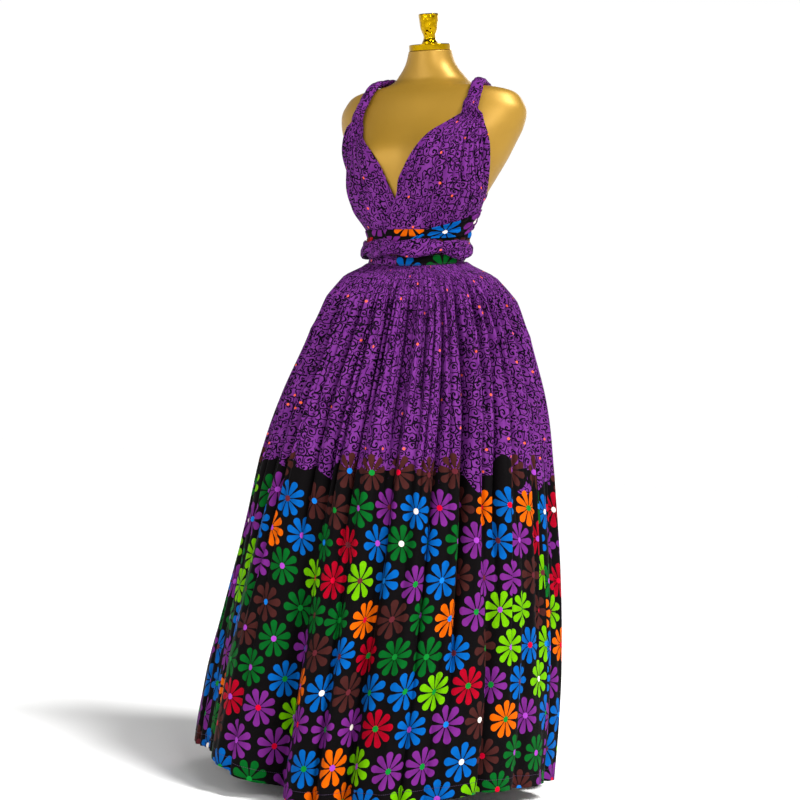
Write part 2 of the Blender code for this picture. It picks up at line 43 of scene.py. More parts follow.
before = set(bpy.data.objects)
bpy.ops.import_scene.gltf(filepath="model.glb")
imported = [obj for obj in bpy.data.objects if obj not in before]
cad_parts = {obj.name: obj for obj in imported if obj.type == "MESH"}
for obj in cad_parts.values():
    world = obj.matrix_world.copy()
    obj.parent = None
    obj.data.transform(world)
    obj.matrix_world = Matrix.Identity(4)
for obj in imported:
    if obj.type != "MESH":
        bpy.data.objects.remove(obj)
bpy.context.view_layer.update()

ROOT = "root"
RNG_SEED = 11

# Form: each row is a level of the torso, from the neck down. tilt lowers the front of a level, lift raises
# its two ends, and forward is the middle of the level in front of the stand's axis.
TORSO_COLUMNS = ("height", "half_width", "front", "back", "forward", "lift", "tilt")
TORSO_LEVELS = (
    (1.511, 0.0445, 0.0435, 0.0435, 0.0265, 0.000, 0.231),
    (1.486, 0.0525, 0.0480, 0.0490, 0.0215, 0.000, 0.200),
    (1.465, 0.0680, 0.0550, 0.0570, 0.0140, 0.000, 0.130),
    (1.449, 0.0880, 0.0620, 0.0660, 0.0070, -0.003, 0.070),
    (1.437, 0.1210, 0.0690, 0.0770, 0.0030, -0.003, 0.030),
    (1.426, 0.1620, 0.0760, 0.0850, 0.0000, 0.004, 0.000),
    (1.413, 0.1890, 0.0840, 0.0910, 0.0000, 0.008, 0.000),
    (1.398, 0.2040, 0.0900, 0.0950, 0.0000, 0.005, 0.000),
    (1.380, 0.2120, 0.0950, 0.0980, 0.0000, 0.002, 0.000),
    (1.352, 0.2070, 0.1000, 0.1010, 0.0020, 0.000, 0.000),
    (1.320, 0.1930, 0.1050, 0.1020, 0.0050, 0.000, 0.000),
    (1.284, 0.1760, 0.1080, 0.1000, 0.0080, 0.000, 0.000),
    (1.225, 0.1420, 0.1020, 0.0940, 0.0120, 0.000, 0.000),
    (1.180, 0.1180, 0.0890, 0.0860, 0.0170, 0.000, 0.000),
    (1.130, 0.1040, 0.0800, 0.0780, 0.0240, 0.000, 0.000),
    (1.085, 0.1000, 0.0770, 0.0760, 0.0290, 0.000, 0.000),
    (1.045, 0.1060, 0.0820, 0.0830, 0.0260, 0.000, 0.000),
    (0.990, 0.1290, 0.0970, 0.1050, 0.0150, 0.000, 0.000),
    (0.920, 0.1560, 0.1100, 0.1240, 0.0070, 0.000, 0.000),
    (0.850, 0.1640, 0.1130, 0.1300, 0.0020, 0.000, 0.000),
    (0.790, 0.1620, 0.1120, 0.1280, 0.0000, 0.000, 0.000),
)
BUST = {"apart": 0.080, "height": 1.262, "wide": 0.050, "tall": 0.052, "stands": 0.032}

CAP = {"radius": 0.0435, "thick": 0.013, "gap": 0.0003, "edge": 0.0016}
BASE = {"radius": 0.165, "thick": 0.014, "edge": 0.004}
POLE = {"radius": 0.014, "foot": 0.0143, "top": 0.7897, "edge": 0.0006}
# Finial: each row is a radius and the height above the cap there.
FINIAL_PROFILE = (
    (0.0000, 0.0000),
    (0.0172, 0.0000),
    (0.0177, 0.0010),
    (0.0152, 0.0055),
    (0.0130, 0.0100),
    (0.0122, 0.0150),
    (0.0130, 0.0200),
    (0.0153, 0.0250),
    (0.0177, 0.0320),
    (0.0190, 0.0400),
    (0.0198, 0.0490),
    (0.0209, 0.0600),
    (0.0205, 0.0612),
    (0.0195, 0.0620),
    (0.0185, 0.0612),
    (0.0176, 0.0590),
    (0.0000, 0.0586),
)

# Skirt: each row is a level of its outline before folds, from the waist seam down.
SKIRT_COLUMNS = ("height", "aside", "forward", "half_width", "front", "back")
SKIRT_LEVELS = (
    (1.075, 0.000, 0.0275, 0.1075, 0.0865, 0.0845),
    (1.048, 0.000, 0.0160, 0.1590, 0.1340, 0.1700),
    (1.002, 0.000, 0.0030, 0.1980, 0.1790, 0.2120),
    (0.930, 0.000, -0.0050, 0.2300, 0.2160, 0.2350),
    (0.775, -0.002, -0.0050, 0.2790, 0.2720, 0.2770),
    (0.638, -0.005, 0.0040, 0.3090, 0.3050, 0.3070),
    (0.450, -0.008, 0.0100, 0.3380, 0.3350, 0.3360),
    (0.263, -0.013, 0.0210, 0.3610, 0.3570, 0.3580),
    (0.127, -0.019, 0.0290, 0.3720, 0.3670, 0.3680),
    (0.018, -0.024, 0.0340, 0.3760, 0.3730, 0.3730),
)
SEAM_HEIGHT = 1.0745
SEAM_DIP = 0.0235
HEM_HEIGHT = 0.018
HEM_COLUMNS = ("angle", "lift")
HEM_LIFTS = (
    (-180.0, 0.004),
    (-150.0, 0.008),
    (-120.0, 0.012),
    (-90.0, 0.018),
    (-60.0, 0.036),
    (-30.0, 0.043),
    (0.0, 0.000),
    (30.0, 0.010),
    (60.0, 0.034),
    (90.0, 0.030),
    (120.0, 0.014),
    (150.0, 0.006),
    (180.0, 0.004),
)
GATHERS = 120
# Main folds, all valleys: where each lies round the skirt in degrees from the front towards the form's
# left, its half width in degrees, its depth at the hem, where it starts, from 0 at the seam to 1, and its
# lean, which is the side, left or right, on which the cloth rolls over the valley.
FOLDS = (
    (-164.0, 7.0, 0.048, 0.20, 0.7),
    (-147.0, 5.0, 0.030, 0.10, -0.8),
    (-128.0, 8.0, 0.060, 0.25, 0.6),
    (-108.0, 5.0, 0.026, 0.15, 0.9),
    (-91.0, 6.0, 0.036, 0.10, -0.5),
    (-71.0, 4.5, 0.016, 0.15, 0.9),
    (-58.0, 4.0, 0.014, 0.35, -0.9),
    (-44.0, 14.0, 0.030, 0.45, 0.2),
    (-35.0, 3.5, 0.014, 0.20, 1.0),
    (-20.0, 3.5, 0.012, 0.10, 0.9),
    (-5.5, 8.5, 0.088, 0.22, 0.5),
    (10.0, 3.2, 0.026, 0.12, -1.0),
    (22.0, 5.5, 0.052, 0.10, 0.8),
    (37.0, 2.8, 0.018, 0.08, 1.0),
    (43.5, 2.8, 0.015, 0.30, -0.8),
    (61.0, 2.8, 0.022, 0.12, -1.0),
    (78.0, 5.0, 0.014, 0.10, 0.8),
    (96.0, 5.0, 0.024, 0.15, -0.8),
    (114.0, 6.5, 0.046, 0.20, 0.6),
    (131.0, 5.0, 0.022, 0.10, 0.9),
    (148.0, 7.5, 0.056, 0.25, -0.6),
    (169.0, 5.0, 0.030, 0.12, 0.8),
)
# The hem is turned under once: how far inwards each row of the turned part lies, and how far up.
HEM_TURN = ((0.0006, -0.0010), (0.0018, -0.0006), (0.0024, 0.0010), (0.0026, 0.0130), (0.0024, 0.0260))
# The gathered top is tucked in under the waistband.
TUCK = {"inwards": 0.0068, "up": 0.007}
# Both halves: the piece, its node, the angle that it starts at, and how far along the cloth it is cut.
SKIRT_HALVES = (
    ("skirt_front_cloth", "skirt_front", -90.0, 0.0),
    ("skirt_back_cloth", "skirt_back", 90.0, 1.62),
)

# Draped strap panels: each row is a level, as a share of the way from the shoulder down to the waistband,
# with the angles of the panel's two edges round the form.
DRAPE_COLUMNS = ("share", "inner_angle", "outer_angle")
LEFT_DRAPE = (
    (0.00, 51.5, 63.0),
    (0.07, 40.0, 64.0),
    (0.16, 25.0, 66.5),
    (0.31, 12.0, 70.0),
    (0.46, 2.0, 75.0),
    (0.58, -2.5, 80.0),
    (0.72, -12.0, 84.0),
    (0.87, -15.0, 85.0),
    (1.00, -16.0, 86.0),
)
RIGHT_DRAPE = (
    (0.00, 48.0, 62.0),
    (0.12, 38.0, 66.0),
    (0.23, 24.0, 69.0),
    (0.34, 16.0, 72.0),
    (0.46, 11.0, 75.0),
    (0.58, 6.0, 79.0),
    (0.72, -5.0, 83.0),
    (0.87, -12.0, 85.0),
    (1.00, -16.0, 86.0),
)
LEFT_DRAPE_TOP = 1.3625
RIGHT_DRAPE_TOP = 1.3465
# Deep folds of a panel: place across it, half width as a share of it, depth, and how far down each runs.
DRAPE_FOLDS = (
    (0.10, 0.016, 0.0024, 0.40),
    (0.22, 0.018, 0.0024, 0.60),
    (0.37, 0.022, 0.0042, 0.80),
    (0.49, 0.022, 0.0058, 0.95),
    (0.585, 0.016, 0.0062, 0.85),
    (0.665, 0.022, 0.0096, 1.10),
    (0.745, 0.015, 0.0068, 0.95),
    (0.815, 0.021, 0.0102, 1.15),
    (0.880, 0.014, 0.0074, 1.05),
    (0.935, 0.016, 0.0086, 1.10),
)
BRIDGE = 0.024
# Rows of points in the part of a panel that is gathered round the start of its rope.
ROPE_ROWS = 16
BUST_SEAT = 0.0033
BAND_HEIGHT = 0.022
# Cloth walls, with the layers that a strap or a turn is folded to.
WALL = {"panel": 0.0011, "strap": 0.0012, "turn": 0.0013}

# Twisted straps over the shoulders: points near their middle lines, from the front to the back.
LEFT_TWIST_ROUTE = (
    (0.1280, -0.0900, 1.3680),
    (0.1320, -0.0760, 1.3920),
    (0.1310, -0.0600, 1.4180),
    (0.1260, -0.0380, 1.4380),
    (0.1180, -0.0100, 1.4480),
    (0.1090, 0.0220, 1.4460),
    (0.1020, 0.0520, 1.4280),
    (0.0960, 0.0760, 1.4020),
)
RIGHT_TWIST_ROUTE = (
    (-0.1250, -0.0880, 1.3476),
    (-0.1220, -0.0860, 1.3750),
    (-0.1110, -0.0760, 1.4050),
    (-0.1020, -0.0560, 1.4320),
    (-0.0980, -0.0240, 1.4480),
    (-0.0970, 0.0120, 1.4500),
    (-0.0960, 0.0440, 1.4360),
    (-0.0955, 0.0763, 1.4040),
)
TWIST = {"half_width": 0.0132, "half_thick": 0.0074, "pitch": 0.085, "sides": 40, "rings": 150}

# Straps across the back and round the side: angle and height of the middle line, half width, and lift.
STRAP_COLUMNS = ("angle", "height", "half_width", "lift")
LEFT_BACK_ROUTE = (
    (126.5, 1.402, 0.012, 0.0000),
    (134.0, 1.383, 0.014, 0.0000),
    (146.0, 1.362, 0.017, 0.0000),
    (165.0, 1.325, 0.022, 0.0050),
    (182.0, 1.296, 0.024, 0.0052),
    (204.0, 1.256, 0.025, 0.0030),
    (228.0, 1.204, 0.025, 0.0000),
    (246.0, 1.164, 0.024, 0.0000),
    (262.0, 1.140, 0.020, 0.0000),
)
RIGHT_BACK_ROUTE = (
    (233.5, 1.404, 0.012, 0.0000),
    (226.0, 1.385, 0.014, 0.0000),
    (214.0, 1.366, 0.017, 0.0000),
    (195.0, 1.336, 0.022, 0.0000),
    (176.0, 1.308, 0.024, 0.0000),
    (152.0, 1.268, 0.025, 0.0000),
    (128.0, 1.226, 0.026, 0.0000),
    (111.0, 1.202, 0.026, 0.0000),
)
SIDE_ROUTE = (
    (109.0, 1.1990, 0.0255, 0.0000),
    (97.0, 1.1810, 0.0240, 0.0000),
    (84.0, 1.1600, 0.0210, 0.0000),
    (66.0, 1.1390, 0.0175, 0.0000),
    (50.0, 1.1270, 0.0140, 0.0000),
    (33.0, 1.1180, 0.0100, 0.0000),
    (21.0, 1.1060, 0.0070, 0.0000),
    (12.0, 1.0950, 0.0040, 0.0000),
)
# Flat straps: the piece, its node, its route, how far off it lies, its pleats, its flat width, and the seed
# of its small waves.
BACK_STRAPS = (
    ("back_right_strap", "strap_right_back", RIGHT_BACK_ROUTE, 0.0006, 4, 0.046, 31),
    ("back_left_strap", "strap_left_back", LEFT_BACK_ROUTE, 0.0006, 4, 0.048, 37),
)
SIDE_STRAP = ("side_strap", "wrap_side", SIDE_ROUTE, 0.0008, 3, 0.042, 43)
UPPER_WRAP = {"above": 0.020, "below": 0.009, "front": 1.1050, "side": 1.1165}
WOUND = {
    "strand": 0.0112,
    "orbit": 0.0090,
    "turns": 4,
    "flat": 0.40,
    "front": 1.0865,
    "side": 1.0970,
    "sides": 24,
    "rings": 420,
}

# Where on the flat cloth each piece is cut: how far along it, and how far up from the border's edge.
CUTS = {
    "bodice_left": (4.10, 0.78),
    "bodice_right": (5.30, 0.80),
    "strap_left_twist": (6.15, 0.82),
    "strap_right_twist": (7.05, 0.86),
    "strap_left_back": (8.20, 0.30),
    "strap_right_back": (11.028, 0.204),
    "wrap_side": (11.345, 0.204),
    "wrap_upper": (11.638, 0.309),
    "wrap_twist_a": (12.80, 0.84),
    "wrap_twist_b": (14.00, 0.90),
    "waistband": (11.165, 0.293),
}


def linear(hex_colour):
    """An sRGB hex colour as linear RGBA."""
    parts = [int(hex_colour[k : k + 2], 16) / 255 for k in (1, 3, 5)]
    return (*[c / 12.92 if c <= 0.04045 else ((c + 0.055) / 1.055) ** 2.4 for c in parts], 1.0)


def chosen():
    """The sizes and colours that are set in the panel."""
    return bpy.context.scene.dress_sizes


def between(rows, columns, name, share):
    """A column of a table, read at shares of the way through its rows, on a smooth curve."""
    values = np.array([row[columns.index(name)] for row in rows], float)
    last = len(rows) - 1
    place = np.clip(share, 0.0, 1.0) * last
    row = np.minimum(place.astype(int) if isinstance(place, np.ndarray) else int(place), last - 1)
    t = place - row
    p0, p1, p2, p3 = (values[np.clip(row + k, 0, last)] for k in (-1, 0, 1, 2))
    m1, m2 = (p2 - p0) / 2, (p3 - p1) / 2
    return (
        (2 * t**3 - 3 * t**2 + 1) * p1
        + (t**3 - 2 * t**2 + t) * m1
        + (3 * t**2 - 2 * t**3) * p2
        + (t**3 - t**2) * m2
    )


def at_height(rows, columns, name, height):
    """A column of a table whose rows fall in height, read at one height or at an array of them."""
    levels = np.array([row[0] for row in rows])
    share = np.interp(-np.asarray(height), -levels, np.linspace(0.0, 1.0, len(rows)))
    return between(rows, columns, name, share)


def smooth_step(low, high, value):
    t = np.clip((value - low) / (high - low), 0.0, 1.0)
    return t * t * (3 - 2 * t)


def ripple(across, down, seed, waves=7):
    """Soft irregular waves between -1 and 1, the same each time for one seed."""
    rng = np.random.default_rng(seed)
    total = 0.0
    for _ in range(waves):
        along = across * rng.uniform(0.4, 1.0) * 2 * math.pi
        total = total + np.sin(along + down * rng.uniform(-1.0, 1.0) * 5 + rng.uniform(0, 7))
    return total / waves**0.5 / 1.6


def grid_mesh(name, points, cloth_uv, closed=False, flip=False):
    """A mesh object through rows of points, with its place on the flat cloth as a UV map."""
    rows, columns = points.shape[:2]
    index = np.arange(rows * columns).reshape(rows, columns)
    after = np.roll(index, -1, axis=1) if closed else index[:, 1:]
    here = index if closed else index[:, :-1]
    quads = np.stack([here[:-1], here[1:], after[1:], after[:-1]], axis=-1).reshape(-1, 4)
    steps = np.arange(columns) if closed else np.arange(columns - 1)
    ends = steps + 1
    corner_rows = np.arange(rows - 1)[:, None]
    uv_rows = np.stack(
        [
            cloth_uv[corner_rows, steps],
            cloth_uv[corner_rows + 1, steps],
            cloth_uv[corner_rows + 1, ends],
            cloth_uv[corner_rows, ends],
        ],
        axis=2,
    ).reshape(-1, 4, 2)
    if flip:
        quads = quads[:, ::-1]
        uv_rows = uv_rows[:, ::-1]
    mesh = bpy.data.meshes.new(name)
    mesh.vertices.add(rows * columns)
    mesh.vertices.foreach_set("co", points.reshape(-1).astype(np.float32))
    mesh.loops.add(quads.size)
    mesh.loops.foreach_set("vertex_index", quads.reshape(-1).astype(np.int32))
    mesh.polygons.add(len(quads))
    mesh.polygons.foreach_set("loop_start", np.arange(0, quads.size, 4, dtype=np.int32))
    mesh.update(calc_edges=True)
    mesh.uv_layers.new(name="cloth").data.foreach_set("uv", uv_rows.reshape(-1).astype(np.float32))
    mesh.shade_smooth()
    obj = bpy.data.objects.new(name, mesh)
    bpy.context.scene.collection.objects.link(obj)
    return obj


def length_along(points, axis):
    """Distances along the rows or the columns of a grid of points, from its first one."""
    steps = np.linalg.norm(np.diff(points, axis=axis), axis=-1)
    start = np.zeros_like(np.take(steps, [0], axis=axis))
    return np.cumsum(np.concatenate([start, steps], axis=axis), axis=axis)


def finish_piece(obj, material, nodes):
    obj.data.materials.append(material)
    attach(obj, ROOT)
    if nodes:
        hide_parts(*nodes)


def finish_cloth(obj, node):
    """Puts the print on a piece of cloth, in place of its node."""
    finish_piece(obj, bpy.data.materials["printed_cotton"], [node])


def thicken(obj, thickness):
    wall = obj.modifiers.new("wall", "SOLIDIFY")
    wall.thickness = thickness
    wall.offset = 1.0


def turned_out(obj, merged_within=0.0):
    """Merges the doubles of a closed tube, where it has any, and turns its faces outwards."""
    bm = bmesh.new()
    bm.from_mesh(obj.data)
    if merged_within:
        bmesh.ops.remove_doubles(bm, verts=bm.verts, dist=merged_within)
    bmesh.ops.recalc_face_normals(bm, faces=bm.faces)
    bm.to_mesh(obj.data)
    bm.free()
    return obj


def radial(angle):
    """Level unit vectors that point out from the form's axis at an array of angles."""
    turn = np.radians(angle)
    return np.stack([np.sin(turn), -np.cos(turn), 0 * turn], axis=-1)


def torso_grid(shares, turns):
    """Points of the torso: shares run from the neck to the bottom, turns are angles from the front."""
    share, turn = np.meshgrid(shares, turns, indexing="ij")
    level = {name: between(TORSO_LEVELS, TORSO_COLUMNS, name, share) for name in TORSO_COLUMNS}
    side, ahead = np.sin(turn), np.cos(turn)
    x = level["half_width"] * side
    reach = np.where(ahead > 0, level["front"], level["back"]) * ahead
    z = level["height"] + level["lift"] * side**2 - level["tilt"] * reach
    for centre in (-BUST["apart"], BUST["apart"]):
        off = ((x - centre) / BUST["wide"]) ** 2 + ((z - BUST["height"]) / BUST["tall"]) ** 2
        reach = reach + BUST["stands"] * np.exp(-off / 1.6) * np.clip(2.2 * ahead, 0.0, 1.0)
    return np.stack([x, -(level["forward"] + reach), z], axis=-1)


class Surface:
    """A smooth surface that cloth is laid on, from outside towards the form's axis."""

    def __init__(self):
        self.trees = []

    def add(self, obj):
        bm = bmesh.new()
        bm.from_object(obj, bpy.context.evaluated_depsgraph_get())
        self.trees.append(BVHTree.FromBMesh(bm))
        bm.free()

    def reach(self, angle, height):
        """How far out from the axis the outermost surface lies at an angle and a height."""
        turn = math.radians(angle)
        ray = Vector((math.sin(turn), -math.cos(turn), 0))
        start = Vector((0, 0, height)) + ray
        found = [tree.ray_cast(start, -ray, 1.0)[0] for tree in self.trees]
        return max([math.hypot(point.x, point.y) for point in found if point] or [0.0])

    def nearest(self, point):
        found, normal, _, _ = self.trees[0].find_nearest(Vector(point))
        return np.array(found), np.array(normal)


form = Surface()
dressed = Surface()


def laid(surface, angles, heights, lifts, soften=2):
    """Points out from a surface at grids of angles and heights, with its hard steps softened."""
    shape = angles.shape
    reach = np.array(
        [surface.reach(a, h) for a, h in zip(angles.reshape(-1), heights.reshape(-1))]
    ).reshape(shape)
    for _ in range(soften):
        padded = np.pad(reach, 1, mode="edge")
        around = (padded[:-2, 1:-1] + padded[2:, 1:-1] + padded[1:-1, :-2] + padded[1:-1, 2:]) / 4
        reach = np.maximum(reach, around)
    reach = reach + lifts
    turn = np.radians(angles)
    return np.stack([np.sin(turn) * reach, -np.cos(turn) * reach, heights], axis=-1)


# Materials


def add(tree, kind, inputs=None, **settings):
    """Adds a node with its settings, and links or sets its inputs."""
    node = tree.nodes.new(kind)
    for name, value in settings.items():
        setattr(node, name, value)
    for key, value in (inputs or {}).items():
        if isinstance(value, bpy.types.NodeSocket):
            tree.links.new(value, node.inputs[key])
        else:
            node.inputs[key].default_value = value
    return node


def work_out(tree, steps, known):
    """Math nodes from a table of steps: each names its result, its operation, and what goes in."""
    for name, operation, *values in steps:
        sockets = [known.get(value, value) for value in values]
        node = add(tree, "ShaderNodeMath", dict(enumerate(sockets)), operation=operation)
        known[name] = node.outputs[0]
    return known


def new_material(name):
    material = bpy.data.materials.new(name)
    material.use_nodes = True
    return material, material.node_tree, material.node_tree.nodes["Principled BSDF"]


TURN = 2 * math.pi
# Curls of the print's ground: one in each cell, about 16 mm across.
CURL = {"cells": 1 / 0.0164, "pitch": 0.0073, "line": 0.0027, "reach": 0.0079}
# Daisies: 78 mm apart along the cloth, in rows 67 mm apart, each 72 mm across.
DAISY = {"along": 0.078, "rows": 0.135, "tip_at": 0.0288, "eye": 0.0056}
DOTS = {"apart": 0.080, "radius": 0.0027}
BORDER_TOP = 0.605
# Threads are 0.4 mm apart, too fine to show, so they are drawn 1.2 mm apart.
THREAD_PITCH = 0.0012
PETAL_COLOURS = (
    (0.00, "#6C2278"),
    (0.29, "#3F1C1A"),
    (0.46, "#0056A4"),
    (0.64, "#02581C"),
    (0.77, "#9C001C"),
    (0.86, "#64A800"),
    (0.93, "#D25A00"),
)
EYE_COLOURS = (
    (0.00, "#9A3CB0"),
    (0.26, "#0A7A2A"),
    (0.45, "#5A2028"),
    (0.65, "#1070C8"),
    (0.78, "#E6DCD4"),
    (0.90, "#C00028"),
)


def colour_steps(tree, value, rows):
    ramp = add(tree, "ShaderNodeValToRGB", {0: value})
    ramp.color_ramp.interpolation = "CONSTANT"
    for place, colour in rows[2:]:
        ramp.color_ramp.elements.new(place)
    for element, (place, colour) in zip(ramp.color_ramp.elements, rows):
        element.position = place
        element.color = linear(colour)
    return ramp.outputs[0]


def daisy_rows(tree, along, up, every_other):
    """Daisies of every other row: their colour, 1 inside one, and 1 on the black round its lower half."""
    known = {"u": along, "v": up}
    work_out(
        tree,
        (
            ("rows", "DIVIDE", "v", DAISY["rows"]),
            ("rows_from", "ADD", "rows", 0.5 * every_other),
            ("row", "FLOOR", "rows_from"),
            ("row_part", "SUBTRACT", "rows_from", "row"),
            ("cells", "DIVIDE", "u", DAISY["along"]),
            ("cells_from", "ADD", "cells", 0.5 * every_other),
            ("cell", "FLOOR", "cells_from"),
            ("cell_part", "SUBTRACT", "cells_from", "cell"),
        ),
        known,
    )
    place = add(tree, "ShaderNodeCombineXYZ", {0: known["cell"], 1: known["row"], 2: 3.7 + every_other})
    chance = add(tree, "ShaderNodeTexWhiteNoise", {0: place.outputs[0]}, noise_dimensions="3D")
    shades = add(tree, "ShaderNodeSeparateColor", {0: chance.outputs["Color"]})
    known["chance"] = chance.outputs["Value"]
    known.update(zip("abc", shades.outputs))
    work_out(
        tree,
        (
            ("x0", "SUBTRACT", "cell_part", 0.5),
            ("x1", "MULTIPLY", "x0", DAISY["along"]),
            ("x_off", "MULTIPLY_ADD", "a", 0.008, -0.004),
            ("x", "ADD", "x1", "x_off"),
            ("y0", "SUBTRACT", "row_part", 0.5),
            ("y1", "MULTIPLY", "y0", DAISY["rows"]),
            ("y_off", "MULTIPLY_ADD", "b", 0.009, -0.0045),
            ("y", "ADD", "y1", "y_off"),
            ("xx", "MULTIPLY", "x", "x"),
            ("rr", "MULTIPLY_ADD", "y", "y", "xx"),
            ("r", "SQRT", "rr"),
            ("angle0", "ARCTAN2", "y", "x"),
            ("angle", "MULTIPLY_ADD", "c", TURN, "angle0"),
            ("nine", "GREATER_THAN", "chance", 0.45),
            ("petals", "ADD", "nine", 8.0),
            ("sector", "DIVIDE", TURN, "petals"),
            ("sectors", "DIVIDE", "angle", "sector"),
            ("part", "FRACT", "sectors"),
            ("part_off", "SUBTRACT", "part", 0.5),
            ("from_axis", "MULTIPLY", "part_off", "sector"),
            ("cosine", "COSINE", "from_axis"),
            ("sine", "SINE", "from_axis"),
            ("px", "MULTIPLY", "r", "cosine"),
            ("py0", "MULTIPLY", "r", "sine"),
            ("py", "ABSOLUTE", "py0"),
            # The rounded tip of a petal, then its club-shaped shank with a thin dark gap on each side.
            ("tip_x", "SUBTRACT", "px", DAISY["tip_at"]),
            ("tip_xx", "MULTIPLY", "tip_x", "tip_x"),
            ("tip_rr", "MULTIPLY_ADD", "py", "py", "tip_xx"),
            ("tip_r", "SQRT", "tip_rr"),
            ("tip", "MULTIPLY", "sector", 0.0098),
            ("in_tip", "LESS_THAN", "tip_r", "tip"),
            ("slope", "MULTIPLY", "sector", 0.285),
            ("shank_width", "MULTIPLY_ADD", "px", "slope", 0.0012),
            ("in_width", "LESS_THAN", "py", "shank_width"),
            ("in_length", "LESS_THAN", "px", DAISY["tip_at"]),
            ("in_shank", "MULTIPLY", "in_width", "in_length"),
            ("in_either", "MAXIMUM", "in_tip", "in_shank"),
            ("gap", "MULTIPLY_ADD", "px", 0.36, -0.0008),
            ("off_gap", "LESS_THAN", "py", "gap"),
            ("petal", "MULTIPLY", "in_either", "off_gap"),
            ("eye", "LESS_THAN", "r", DAISY["eye"]),
            ("inside", "MAXIMUM", "petal", "eye"),
            # The top rows of the border are ragged: some daisies there stand above the black ground.
            ("middle0", "ADD", "row", 0.5 - 0.5 * every_other),
            ("middle", "MULTIPLY", "middle0", DAISY["rows"]),
            ("reach", "MULTIPLY_ADD", "chance", 0.090, BORDER_TOP - 0.036),
            ("printed", "LESS_THAN", "middle", "reach"),
            ("mask", "MULTIPLY", "inside", "printed"),
            # The black ground reaches up round the lower half of each daisy of the top row.
            ("near", "LESS_THAN", "r", 0.043),
            ("lower", "LESS_THAN", "y", 0.004),
            ("near_lower", "MULTIPLY", "near", "lower"),
            ("skirted", "MULTIPLY", "near_lower", "printed"),
            # The wax leaves a petal a little darker towards its root.
            ("root", "MULTIPLY_ADD", "px", 12.0, 0.66),
            ("depth", "MINIMUM", "root", 1.0),
            ("pick", "MULTIPLY_ADD", "b", 7.13, "c"),
            ("any_pick", "FRACT", "pick"),
            # Most daisies of the top row are brown.
            ("top_row", "GREATER_THAN", "middle", BORDER_TOP - 0.030),
            ("some", "GREATER_THAN", "a", 0.38),
            ("brown", "MULTIPLY", "top_row", "some"),
            ("left_over", "SUBTRACT", 1.0, "brown"),
            ("kept_pick", "MULTIPLY", "any_pick", "left_over"),
            ("petal_pick", "MULTIPLY_ADD", "brown", 0.36, "kept_pick"),
            ("eye_pick0", "MULTIPLY_ADD", "a", 5.31, "chance"),
            ("eye_pick", "FRACT", "eye_pick0"),
        ),
        known,
    )
    petals = colour_steps(tree, known["petal_pick"], PETAL_COLOURS)
    shaded = add(tree, "ShaderNodeMix", {0: 1.0, 6: petals}, data_type="RGBA", blend_type="MULTIPLY")
    grey = add(tree, "ShaderNodeCombineColor", {0: known["depth"], 1: known["depth"], 2: known["depth"]})
    tree.links.new(grey.outputs[0], shaded.inputs[7])
    eyes = colour_steps(tree, known["eye_pick"], EYE_COLOURS)
    colour = add(
        tree, "ShaderNodeMix", {0: known["eye"], 6: shaded.outputs[2], 7: eyes}, data_type="RGBA"
    ).outputs[2]
    return colour, known["mask"], known["skirted"]


def curls(tree, cloth, warped):
    """1 on the dark lines of the ground: a curl in each cell, and links between cells."""
    cell = add(
        tree,
        "ShaderNodeTexVoronoi",
        {"Vector": warped, "Scale": CURL["cells"], "Randomness": 0.70},
        voronoi_dimensions="2D",
    )
    edge = add(
        tree,
        "ShaderNodeTexVoronoi",
        {"Vector": warped, "Scale": CURL["cells"], "Randomness": 0.70},
        voronoi_dimensions="2D",
        feature="DISTANCE_TO_EDGE",
    )
    away = add(tree, "ShaderNodeVectorMath", {0: warped, 1: cell.outputs["Position"]}, operation="SUBTRACT")
    axes = add(tree, "ShaderNodeSeparateXYZ", {0: away.outputs[0]})
    chance = add(tree, "ShaderNodeSeparateColor", {0: cell.outputs["Color"]})
    breaks = add(tree, "ShaderNodeTexNoise", {"Vector": cloth, "Scale": 62.0, "Detail": 0.0})
    known = {
        "x": axes.outputs[0],
        "y": axes.outputs[1],
        "a": chance.outputs[0],
        "b": chance.outputs[1],
        "edge": edge.outputs["Distance"],
        "breaks": breaks.outputs[0],
    }
    work_out(
        tree,
        (
            ("xx", "MULTIPLY", "x", "x"),
            ("rr", "MULTIPLY_ADD", "y", "y", "xx"),
            ("r", "SQRT", "rr"),
            ("turn", "ARCTAN2", "y", "x"),
            ("hand0", "GREATER_THAN", "b", 0.5),
            ("hand", "MULTIPLY_ADD", "hand0", 2 / TURN, -1 / TURN),
            ("wound", "MULTIPLY_ADD", "turn", "hand", "a"),
            ("out", "MULTIPLY_ADD", "r", 1 / CURL["pitch"], "wound"),
            ("part", "FRACT", "out"),
            ("off0", "SUBTRACT", "part", 0.5),
            ("off", "ABSOLUTE", "off0"),
            ("on_line", "LESS_THAN", "off", CURL["line"] / CURL["pitch"] / 2),
            ("within", "LESS_THAN", "r", CURL["reach"]),
            ("curl", "MULTIPLY", "on_line", "within"),
            ("on_edge", "LESS_THAN", "edge", CURL["line"] * CURL["cells"] * 0.44),
            ("unbroken", "GREATER_THAN", "breaks", 0.39),
            ("link", "MULTIPLY", "on_edge", "unbroken"),
            ("eye", "LESS_THAN", "r", CURL["line"] * 0.62),
            ("lines", "MAXIMUM", "curl", "link"),
            ("all", "MAXIMUM", "lines", "eye"),
        ),
        known,
    )
    return known["all"]


